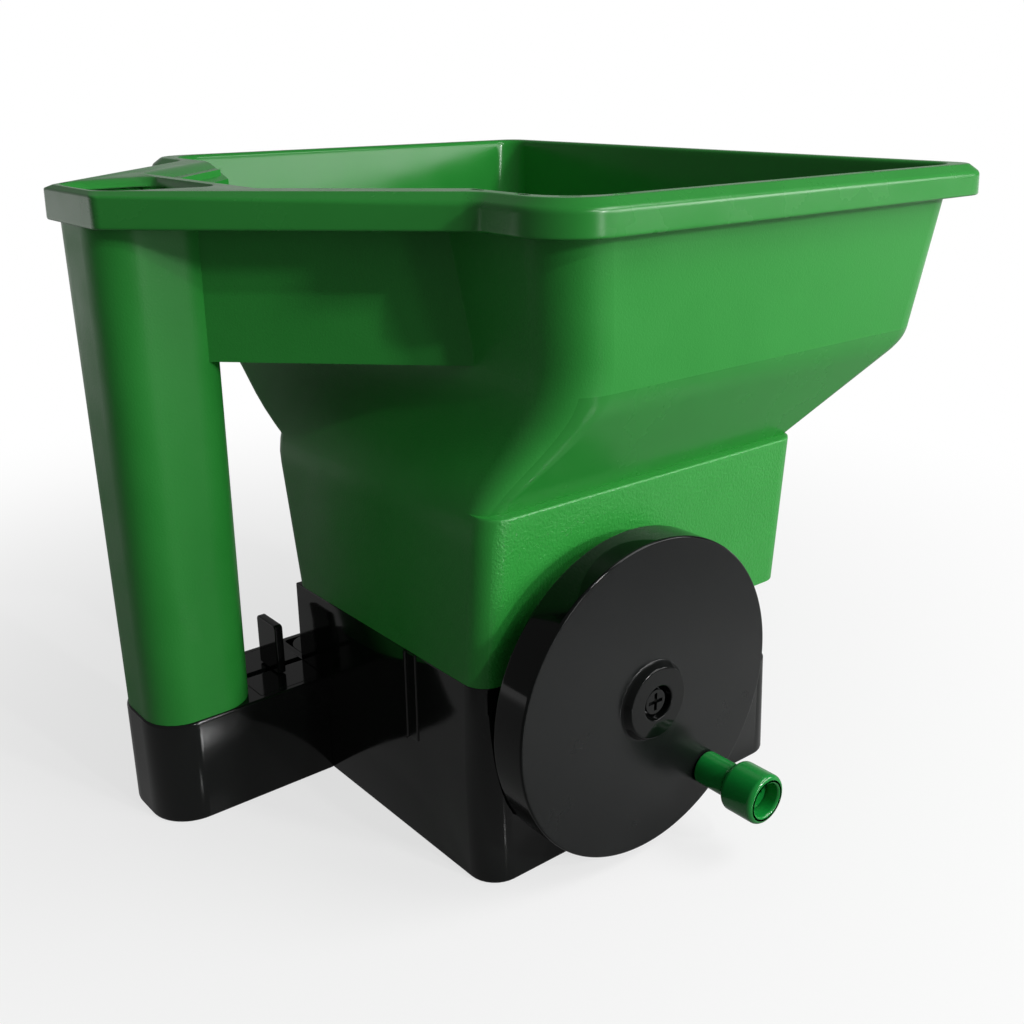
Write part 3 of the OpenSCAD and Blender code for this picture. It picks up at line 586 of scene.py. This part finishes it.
ledge_in, ledge_drop = edge_arc(ledge_edge)
box_heights = [box_low, 75, 95, 108, 112, 116, 120, 120.7]
box_rows = [at_height(tub_outline(z, 0, 0), z) for z in box_heights]
box_rows += [at_height(tub_outline(box_top - d, 0, i / -ledge[2]), box_top - d)
             for i, d in zip(ledge_in[::-1], ledge_drop[::-1])]
box_rows += [at_height(tub_outline(box_top), box_top)]
bend_half, bend_rows, bend_lift = 4.5, 13, 2.2
slope_heights = np.concatenate([
    [box_top, 122.7, 123.4, 124, 127, 130, 133, 136, 140, 143],
    shoulder + np.linspace(-bend_half, bend_half, bend_rows)])
upper_heights = [slope_heights[-1], trough_low]
inner_heights = np.concatenate([
    [trough_floor], shoulder + bend_lift + np.linspace(bend_half, -bend_half, bend_rows),
    [144, 140, 136, 132, 128, 125, 122, 119, 116, 112, 108, 90]])
trough_heights = (trough_low, 161, 164, 170, 185, 200, rim_under)
mouth_heights = (rim_top - 3, rim_top - funnel_drop, 204, 190, 175, 167, 163, trough_floor)
mouth_in, mouth_drop = edge_arc(mouth_edge)
mouth_loops = [moved_in(inside_outline(rim_top - d), -i) for i, d in zip(mouth_in, mouth_drop)]
mouth_rows = [at_height(loop, rim_top - d) for loop, d in zip(mouth_loops, mouth_drop)]
mouth_rows += [at_height(inside_outline(z), z) for z in mouth_heights]
x_out, x_in = tub_values(trough_low)[0], tub_values(trough_floor, tub_wall)[0]
trough_under = np.array([
    (x_out, trough_sum + x_out), *[(x, y) for x, y, _ in outer_end], (x_out, -trough_sum - x_out)])
trough_bed = np.array([
    (x_in, inner_sum + x_in), (divider, inner_sum + divider), (divider, -inner_sum - divider),
    (x_in, -inner_sum - x_in)])
# inside, a small fillet closes the wall against the hopper's floor
floor_level, seat_fillet = 70.0, 2.0
seat_in, seat_lift = edge_arc(seat_fillet)
inner_rows = [at_height(tub_outline(z, tub_wall), z) for z in inner_heights]
inner_rows += [at_height(tub_outline(floor_level + d, tub_wall + i), floor_level + d)
               for i, d in zip(seat_in[::-1], seat_lift[::-1])]
wall_ring = [at_height(tub_outline(box_low, i), box_low) for i in (tub_wall + seat_fillet, 0)]
inner_rows.append(wall_ring[0])
outer_sheets = [
    skin([at_height(tub_outline(z), z) for z in upper_heights]),
    skin([at_height(tub_and_trough(z, 0, outer_end), z) for z in trough_heights]),
    flat([trough_under], trough_low, up=False)]
slope_near, slope_rear = split_rear(skin([at_height(tub_outline(z), z) for z in slope_heights]))
box_near, box_rear = split_rear(skin(box_rows))
inner_sheets = [
    flat([trough_bed], trough_floor), skin(mouth_rows[::-1], inward=True), skin(wall_ring),
    skin(inner_rows[::-1], inward=True)]
# the lighter green on the near box face is painted light; the darker greens on the near slope and inside are
# painted shade
hopper_tub = make_piece(
    "hopper_tub", (outer_sheets + [slope_rear, box_rear], satin_green), ([box_near], coarse_green_painted_light),
    ([slope_near], rim_green_painted_shade), (inner_sheets, inner_green_painted_shade))
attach(hopper_tub, "frame")
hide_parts("hopper")

# Hopper rim
# Flat flange round the top with a turned-down skirt, part of the hopper's moulding but polished smooth. Its
# top falls off towards the edge; it runs out round the handle's mouth and has five slots by its inner edge.
# Its green is darker than the tub's, painted shade.
band_in, band_drop, band_reach = 4.2, 2.7, 1.5
land_r, band_r, skirt_r = 1.6, 2.2, 0.7
skirt_draft, skirt_lean = 0.4, 0.1
end_share, end_fall, end_run = 0.4, 0.4, 16.0
end_r, flare_r, rear_r, front_r = 5.0, 8.0, 20.0, 12.0
section_steps = 5


def rim_outline(inset):
    """Outline of the rim moved in by inset: rounded front, step to the flares, flares at 45 degrees, short
    end. The end moves in less, because the handle's mouth lies close behind it."""
    s, e, q = rim_flare + inset * root2, rim_end + inset * end_share, rim_rear + inset
    f, w = rim_front - inset, rim_half - inset
    half = [(e, s - e, end_r), (q, s - q, flare_r + inset), (q, -w, rear_r - inset), (f, -w, front_r - inset)]
    return rounded_outline(half + [(x, -y, r) for x, y, r in half[::-1]], steps=10)


def handle_outline(z, inset=0.0):
    """The handle tube at height z: a square with large corner radii that grows a little towards the rim."""
    grown = (handle_half_top - handle_half_low) * (z - tray_h) / (rim_low - tray_h)
    half = handle_half_low + grown - inset
    return plate_outline(handle_x - half, handle_x + half, -half, half, handle_r - inset, steps=14)


# section of the rim as distance in from the edge and height under the top: land, falling band, skirt, inside
rim_section = rounded_outline([
    (band_in + land_r, 0, sharp_r), (band_in, 0, land_r), (skirt_draft, -band_drop, band_r),
    (0, -rim_depth, skirt_r), (tub_wall, -rim_depth, skirt_r), (tub_wall + skirt_lean, -tub_wall, sharp_r)],
    section_steps)
rim_section = np.vstack([rim_section[section_steps + 2:-section_steps - 3], [tub_wall, -tub_wall]])
top_rows = (rim_section[:, 1] > -band_drop - band_reach)[:, None]
rim_rows = np.array([at_height(rim_outline(i), h) for i, h in rim_section])
fall_share = np.clip(end_fall + (1 - end_fall) * (rim_rows[:, :, 0] - rim_end) / end_run, end_fall, 1)
rim_rows[:, :, 2] = rim_top + rim_rows[:, :, 2] * np.where(top_rows, fall_share, 1)
rim_rows[0, :, 2] = rim_top
rim_rows[-1, :, 2] = rim_under

# the handle's mouth, a shallow dish that falls into the bore, and the slots
mouth_rear, mouth_front, mouth_half_rear, mouth_half_front = -126.4, -94.3, 19.6, 18.4
mouth_rear_r, mouth_front_r = 11.0, 2.6
bore_loop = even_outline(
    mouth_rear, mouth_front, mouth_half_rear, mouth_half_front, mouth_rear_r, mouth_front_r)
dish_rear, dish_front = mouth_rear - 0.8, mouth_front + 1.2
dish_half_rear, dish_half_front = mouth_half_rear + 0.6, mouth_half_front + 9
dish_rear_r, dish_front_r = 12.0, 6.0
dish_loop = even_outline(dish_rear, dish_front, dish_half_rear, dish_half_front, dish_rear_r, dish_front_r)
dish_drop, dish_power = 3.5, 1.5
dish_rows = [at_height(dish_loop * (1 - s) + bore_loop * s, rim_top - dish_drop * s ** dish_power)
             for s in np.linspace(0, 1, 9)]
bore_foot = handle_outline(rim_low, tub_wall)
bore_fall = rim_low + dish_drop - rim_top
bore_rows = [at_height(bore_loop * (1 - s) + bore_foot * s, rim_top - dish_drop + bore_fall * s)
             for s in np.linspace(0, 1, 5)]
mouth_margin = 0.3
mouth_top = moved_in(mouth_loops[0], -mouth_margin)
slot_places = ((-47.3, -88.6, 90), (-47.3, -108.5, 90), (-41.6, -121.0, 143), (-27.0, -125.2, 0),
               (82.0, -125.2, 0))
slot_half_long, slot_half_wide, slot_corner = 3.0, 0.8, 0.7


def slot_outline(x, y, angle):
    """A narrow slot about x and y, turned by angle in degrees."""
    loop = plate_outline(
        -slot_half_long, slot_half_long, -slot_half_wide, slot_half_wide, slot_corner, steps=4, hold=0.05)
    c, s = math.cos(math.radians(angle)), math.sin(math.radians(angle))
    return loop @ np.array([[c, s], [-s, c]]) + [x, y]


slots = [slot_outline(*place) for place in slot_places]
collar_rows = [at_height(handle_outline(z), z) for z in (rim_low, rim_under)]
under_loops = [
    rim_rows[-1][:, :2], tub_and_trough(rim_under, 0, outer_end), handle_outline(rim_under, tub_wall)]
rim_sheets = [
    skin(rim_rows, inward=True), flat([rim_rows[0][:, :2], mouth_top, dish_loop, *slots], rim_top),
    skin([at_height(mouth_top, rim_top), mouth_rows[0]], inward=True),
    skin(dish_rows), skin(collar_rows),
    flat(under_loops, rim_under, up=False)]
rim_sheets += [skin([at_height(loop, z) for z in (rim_under, rim_top)], inward=True) for loop in slots]
hopper_rim = make_piece("hopper_rim", (rim_sheets, rim_green_painted_shade), ([skin(bore_rows)], satin_green))
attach(hopper_rim, "frame")
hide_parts("hopper")

# Handle tube
# Hollow grip between the rim and the base, a rounded square that tapers towards its foot, in green
# polypropylene. Its foot stands in the base's socket, where a screw from below holds it.
tube_floor, tube_foot_row = 17.0, 4.0
tube_heights = np.concatenate([[tray_h], np.linspace(tray_h + tube_foot_row, rim_low, 8)])
hollow_heights = (tube_floor, 60, 120, rim_low)
tube_sheets = [
    skin([at_height(handle_outline(z), z) for z in tube_heights]),
    skin([at_height(handle_outline(z, tub_wall), z) for z in hollow_heights], inward=True),
    flat([handle_outline(tube_floor, tub_wall)], tube_floor),
    skin([at_height(handle_outline(tray_h, i), tray_h) for i in (tub_wall, 0)]),
    skin([at_height(handle_outline(rim_low, i), rim_low) for i in (0, tub_wall)])]
handle_grip = make_piece("handle_grip", (tube_sheets, satin_green))
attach(handle_grip, "frame")
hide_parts("handle_tube")

# Crank wheel
# Black disc with a deep rim, a raised hub, a stud for the knob and an internal ring gear behind its face.
# Moulded in black ABS with a satin face and a polished rim; it turns on the axle bolt.
face_out = 131.6
back_out = face_out - 12.6
web_out = face_out - 3.2
wheel_r = (wheel_high[0] - wheel_low[0]) / 2
hub_out = face_out + 2.8
hub_root, hub_r, hub_hole, hub_floor = 13.4, 11.8, 5.7, 129.5
sleeve_r, sleeve_back, axle_r = 9.0, 115.0, 3.05
stud_out, stud_r, stud_bore = -wheel_low[1], 3.5, 1.55
ring_root, ring_tip, ring_teeth = 46.9, 43.7, 60
ring_back, ring_low, ring_high = ring_root + 0.6, back_out + 0.3, web_out + 0.1
tooth_points, tooth_steep, tooth_shift = 12, 1.6, 0.1
wheel_steps, turn_steps = 5, 192
satin_black = moulded_plastic(
    "satin_black", (0.006, 0.0068, 0.0066), (0.008, 0.009, 0.0088), (0.22, 0.28), (2200, 0.004), (30, 0.02),
    specular=0.32)
edge_black = moulded_plastic(
    "edge_black", (0.0025, 0.003, 0.0028), (0.004, 0.0048, 0.0044), (0.05, 0.09), (900, 0.002), (45, 0.02),
    specular=0.22)
wheel_section = rounded_outline([
    (wheel_r, back_out, 0.5), (wheel_r, face_out, 0.7), (hub_root, face_out, 0.6), (hub_r, hub_out, 0.7),
    (hub_hole, hub_out, 0.45), (hub_hole, hub_floor, 0.1), (axle_r, hub_floor, 0.1),
    (axle_r, sleeve_back, 0.1), (sleeve_r, sleeve_back, 0.5), (sleeve_r, web_out, 0.8),
    (ring_root, web_out, 0.5), (ring_root, back_out, 0.3)], wheel_steps)
corner_points = wheel_steps + 3
tooth = np.linspace(0, 2 * np.pi, ring_teeth * tooth_points, endpoint=False)
wave = np.clip(tooth_steep * np.cos(ring_teeth * tooth) + tooth_shift, -1, 1)
ring_r = (ring_root + ring_tip) / 2 - wave * (ring_root - ring_tip) / 2
outer_r = np.full_like(tooth, ring_back)
ring_path = ((outer_r, ring_low), (outer_r, ring_high), (ring_r, ring_high), (ring_r, ring_low))
ring_rows = [
    np.stack([wheel_x + r * np.cos(tooth), np.full_like(tooth, -out), wheel_z + r * np.sin(tooth)], -1)
    for r, out in ring_path]
knob_low, knob_high = node_box("crank_knob")
knob_x = (knob_low[0] + knob_high[0]) / 2
knob_z = (knob_low[2] + knob_high[2]) / 2
stud_section = rounded_outline([
    (stud_r, web_out, 0.2), (stud_r, stud_out, 0.3), (stud_bore, stud_out, 0.2), (stud_bore, web_out, 0.2)])
face_start, hub_start = 2 * corner_points - 3, 3 * corner_points - 1
face_sheet = turned(wheel_section[face_start:hub_start + 1], wheel_x, wheel_z, turn_steps, ring=False)
rest_section = np.concatenate([wheel_section[hub_start:], wheel_section[:face_start + 1]])
wheel_sheets = [
    turned(rest_section, wheel_x, wheel_z, turn_steps, ring=False), skin(ring_rows, ring=True),
    turned(stud_section, knob_x, knob_z, steps=48)]
crank_disc = make_piece("crank_disc", ([face_sheet], satin_black), (wheel_sheets, edge_black))
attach(crank_disc, "wheel")
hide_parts("crank_wheel")

# Knob
# Green grip that turns on the wheel's stud: a stem, a thicker barrel with a cup in its end for the screw.
# Glossy polypropylene, all edges well rounded.
knob_foot, knob_end = -knob_high[1], -knob_low[1]
knob_r = (knob_high[0] - knob_low[0]) / 2
stem_r, stem_l = 5.7, 13.0
cup_r, cup_deep = 5.7, 7.5
bore_r = 3.55
shoulder_foot, shoulder_head = knob_foot + stem_l - 1.2, knob_foot + stem_l + 1.3
cup_floor, cup_draft = knob_end - cup_deep, 0.3
glossy_green = moulded_plastic(
    "glossy_green", (0.006, 0.24, 0.034), (0.010, 0.28, 0.046), (0.14, 0.2), (1500, 0.004), (70, 0.03),
    specular=0.5)
knob_section = rounded_outline([
    (stem_r, knob_foot, 0.6), (stem_r, shoulder_foot, 1.6), (knob_r, shoulder_head, 1.6),
    (knob_r, knob_end, 1.7), (cup_r, knob_end, 1.0), (cup_r - cup_draft, cup_floor, 0.6),
    (bore_r, cup_floor, 0.2), (bore_r, knob_foot, 0.2)])
knob_grip = make_piece("knob_grip", ([turned(knob_section, knob_x, knob_z)], glossy_green))
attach(knob_grip, "knob")
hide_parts("crank_knob")

# Steel, bronze and nylon pieces of the drive
# Turned steel shafts and screws, a black axle bolt, sintered bronze bushes, nylon gears and agitator, all in
# the solids' own shapes. Deck, guide and spinner are black mouldings; floor and knob screw are green.
mark_scale = 260


def metal(name, dark, light, rough, scale, depth):
    """Machined metal: a fine grain in roughness and bump, and a mottle between dark and light in colour."""
    material = bpy.data.materials.new(name)
    material.use_nodes = True
    nodes, links = material.node_tree.nodes, material.node_tree.links
    shader = nodes["Principled BSDF"]
    shader.inputs["Metallic"].default_value = 1
    marks = nodes.new("ShaderNodeGroup")
    marks.node_tree = mould_skin
    marks.inputs["Grain Scale"].default_value = scale
    marks.inputs["Mottle Scale"].default_value = mark_scale
    links.new(mix_colour(nodes, links, marks.outputs["Mottle"], dark, light), shader.inputs["Base Color"])
    shine = nodes.new("ShaderNodeMapRange")
    shine.inputs["To Min"].default_value, shine.inputs["To Max"].default_value = rough
    links.new(marks.outputs["Grain"], shine.inputs["Value"])
    links.new(shine.outputs["Result"], shader.inputs["Roughness"])
    bump = nodes.new("ShaderNodeBump")
    bump.inputs["Distance"].default_value = depth * MM
    links.new(marks.outputs["Grain"], bump.inputs["Height"])
    links.new(bump.outputs["Normal"], shader.inputs["Normal"])
    return material


def numbered(name, count):
    """Names of like pieces, numbered from 1."""
    return [f"{name}_{number}" for number in range(1, count + 1)]


zinc_steel = metal("zinc_steel", (0.42, 0.43, 0.44), (0.62, 0.63, 0.64), (0.2, 0.42), 1800, 0.01)
oiled_bronze = metal("oiled_bronze", (0.38, 0.22, 0.09), (0.56, 0.34, 0.14), (0.3, 0.5), 2600, 0.02)
natural_nylon = moulded_plastic(
    "natural_nylon", (0.62, 0.60, 0.52), (0.74, 0.72, 0.64), (0.35, 0.5), (1600, 0.01), (60, 0.02),
    specular=0.4)
dull_black = moulded_plastic(
    "dull_black", (0.008, 0.0085, 0.0085), (0.013, 0.014, 0.014), (0.3, 0.42), (1800, 0.012), (60, 0.02),
    specular=0.4)
screws = numbered("hopper_screw", 4) + numbered("deck_screw", 4) + numbered("guide_screw", 3)
finishes = {
    zinc_steel: ["axle_washer", "pinion_shaft", "pinion_clip", "spinner_shaft", "spinner_clip",
                 "handle_screw", *screws],
    edge_black: ["axle_bolt"],
    glossy_green: ["knob_screw"],
    oiled_bronze: ["axle_insert", "bush_outer", "bush_inner", "bush_lower", "bush_deck", "bush_floor",
                   "thrust_washer"],
    natural_nylon: ["pinion_gear", "mitre_drive", "mitre_driven", "agitator"],
    dull_black: ["deck_plate", "gate_guide", "spinner_disc"],
    satin_green: ["hopper_floor"]}
for finish, names in finishes.items():
    for name in names:
        slots_of_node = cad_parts[name].data.materials
        slots_of_node.clear()
        slots_of_node.append(finish)

# Floor, light and camera
# A polished table that runs out to white, small hard lamps and a strip light in front, a low window and a
# high soft light close on the crank's side, a pale horizon behind, and the photograph's view.
floor_half = 6.0
floor_grey, floor_pale = (0.18, 0.18, 0.18), (0.9, 0.9, 0.9)
back_way = Vector((0.35, 0.94, 0)).normalized()
camera_way = Vector((-0.58, -0.81, 0)).normalized()
skyward = Vector((0, 0, 1))


def ramp(nodes, links, value, start, end, low, high):
    """A value carried from the range start to end onto low to high, with smooth ends."""
    node = nodes.new("ShaderNodeMapRange")
    node.interpolation_type = "SMOOTHSTEP"
    for label, number in (("From Min", start), ("From Max", end), ("To Min", low), ("To Max", high)):
        node.inputs[label].default_value = number
    links.new(value, node.inputs["Value"])
    return node.outputs["Result"]


def math_node(nodes, links, operation, first, second):
    """One math step on two sockets or numbers."""
    node = nodes.new("ShaderNodeMath")
    node.operation = operation
    for socket, value in zip(node.inputs, (first, second)):
        if isinstance(value, bpy.types.NodeSocket):
            links.new(value, socket)
        else:
            socket.default_value = value
    return node.outputs["Value"]


def along(nodes, links, kind, way):
    """How far a Texture Coordinate output of this kind lies along a direction."""
    place = nodes.new("ShaderNodeTexCoord")
    node = nodes.new("ShaderNodeVectorMath")
    node.operation = "DOT_PRODUCT"
    links.new(place.outputs[kind], node.inputs[0])
    node.inputs[1].default_value = way
    return node.outputs["Value"]


def shown_white(nodes, links, side):
    """1 for camera rays, and the side's value for glossy and transmission rays: what they meet is white there
    and gives no light to the object."""
    path = nodes.new("ShaderNodeLightPath")
    mirrored = math_node(
        nodes, links, "MAXIMUM", path.outputs["Is Glossy Ray"], path.outputs["Is Transmission Ray"])
    mirrored = math_node(nodes, links, "MULTIPLY", mirrored, side)
    return math_node(nodes, links, "MAXIMUM", path.outputs["Is Camera Ray"], mirrored)


floor_material = bpy.data.materials.new("studio_floor")
floor_material.use_nodes = True
floor_tree = floor_nodes, floor_links = floor_material.node_tree.nodes, floor_material.node_tree.links
floor_shader = floor_nodes["Principled BSDF"]
floor_place = floor_nodes.new("ShaderNodeTexCoord")
floor_reach = floor_nodes.new("ShaderNodeVectorMath")
floor_reach.operation = "LENGTH"
floor_links.new(floor_place.outputs["Object"], floor_reach.inputs[0])
floor_out = floor_reach.outputs["Value"]
floor_near = along(*floor_tree, "Object", camera_way)
floor_far = ramp(*floor_tree, floor_out, start=0.45, end=1.2, low=0.22, high=1)
floor_away = ramp(*floor_tree, floor_near, start=-0.05, end=0.35, low=1, high=0.05)
floor_seen = shown_white(*floor_tree, math_node(*floor_tree, "MULTIPLY", floor_far, floor_away))
floor_colour = mix_colour(*floor_tree, floor_seen, floor_grey, floor_pale)
floor_links.new(floor_colour, floor_shader.inputs["Base Color"])
floor_path = floor_nodes.new("ShaderNodeLightPath")
floor_glossy = floor_path.outputs["Is Glossy Ray"]
floor_shine = ramp(*floor_tree, floor_glossy, start=0, end=1, low=0.9, high=0.12)
floor_links.new(floor_shine, floor_shader.inputs["Roughness"])
floor_gloss = ramp(*floor_tree, floor_glossy, start=0, end=1, low=0, high=0.2)
floor_links.new(floor_gloss, floor_shader.inputs["Specular IOR Level"])
floor_fade = ramp(*floor_tree, floor_out, start=0.1, end=0.5, low=0.7, high=1)
floor_white = floor_nodes.new("ShaderNodeEmission")
floor_blend = floor_nodes.new("ShaderNodeMixShader")
floor_links.new(math_node(*floor_tree, "MULTIPLY", floor_fade, floor_seen), floor_blend.inputs["Fac"])
floor_links.new(floor_shader.outputs["BSDF"], floor_blend.inputs[1])
floor_links.new(floor_white.outputs["Emission"], floor_blend.inputs[2])
floor_links.new(floor_blend.outputs["Shader"], floor_nodes["Material Output"].inputs["Surface"])
floor_corners = [(-floor_half, -floor_half, 0), (floor_half, -floor_half, 0), (floor_half, floor_half, 0),
                 (-floor_half, floor_half, 0)]
floor_mesh = bpy.data.meshes.new("studio_floor")
floor_mesh.from_pydata(floor_corners, [], [(0, 1, 2, 3)])
floor_mesh.materials.append(floor_material)
floor = bpy.data.objects.new("studio_floor", floor_mesh)
bpy.context.scene.collection.objects.link(floor)

fill_light = 0.17
world = bpy.data.worlds.new("studio")
world.use_nodes = True
world_tree = world_nodes, world_links = world.node_tree.nodes, world.node_tree.links
sky_back = along(*world_tree, "Generated", back_way)
sky_up = along(*world_tree, "Generated", skyward)
behind = ramp(*world_tree, sky_back, start=0.2, end=0.7, low=0, high=0.45)
horizon = ramp(*world_tree, sky_up, start=0.1, end=0.34, low=1, high=0.45)
mirrored_sky = math_node(*world_tree, "MULTIPLY", behind, horizon)
world_light = math_node(*world_tree, "MAXIMUM", shown_white(*world_tree, mirrored_sky), fill_light)
world_links.new(world_light, world_nodes["Background"].inputs["Strength"])
world_nodes["Background"].inputs["Color"].default_value = (1, 1, 1, 1)
bpy.context.scene.world = world


def soft_light(name, place, aim, size, watts):
    """A rectangular area lamp of a size (width, height) in metres, at place, that looks at aim."""
    data = bpy.data.lights.new(name, "AREA")
    data.shape = "RECTANGLE"
    data.size, data.size_y = size
    data.energy = watts
    lamp = bpy.data.objects.new(name, data)
    lamp.location = place
    lamp.rotation_euler = (Vector(aim) - Vector(place)).to_track_quat("-Z", "Y").to_euler()
    bpy.context.scene.collection.objects.link(lamp)


crank_side = (0.03, -0.125, 0.18)
soft_light("hard_lamp", (0.44, -1.67, 0.69), (-0.03, -0.03, 0.12), (0.14, 0.14), 9)
soft_light("glint_lamp", (0.1, -1.54, 1.04), (-0.03, -0.03, 0.03), (0.06, 0.06), 4)
soft_light("strip_light", (0.3, -1.7, 0.24), (0, 0, 0.2), (0.12, 0.4), 2)
soft_light("low_window", (0.485, -0.629, 0.343), crank_side, (0.47, 0.19), 2.2)
soft_light("high_light", (0.344, -0.536, 0.724), crank_side, (0.45, 0.27), 2.6)

# the view, found from straight edges of the object: focal length and image width in pixels, angles in radians
focal_px, image_px, sensor_mm = 1189.97, 1024, 36
pitch, yaw, roll = 0.349886595, 0.888833587, 0.0081478
camera_mm = (-254.6, -358.4, 240.0)
ahead = np.array([math.cos(yaw), math.sin(yaw), 0])
aside = np.array([math.sin(yaw), -math.cos(yaw), 0])
upright = np.array([0, 0, 1.0])
look = ahead * math.cos(pitch) - upright * math.sin(pitch)
down = -(upright * math.cos(pitch) + ahead * math.sin(pitch))
right = aside * math.cos(roll) + down * math.sin(roll)
below = -aside * math.sin(roll) + down * math.cos(roll)
camera_data = bpy.data.cameras.new("photo_view")
camera_data.sensor_width = sensor_mm
camera_data.lens = focal_px * sensor_mm / image_px
camera_data.clip_start = 0.01
camera = bpy.data.objects.new("photo_view", camera_data)
turn = np.column_stack([right, -below, -look])
camera.matrix_world = Matrix.Translation(Vector(camera_mm) * MM) @ Matrix(turn.tolist()).to_4x4()
bpy.context.scene.collection.objects.link(camera)
bpy.context.scene.camera = camera
bpy.context.scene.view_settings.view_transform = "Standard"
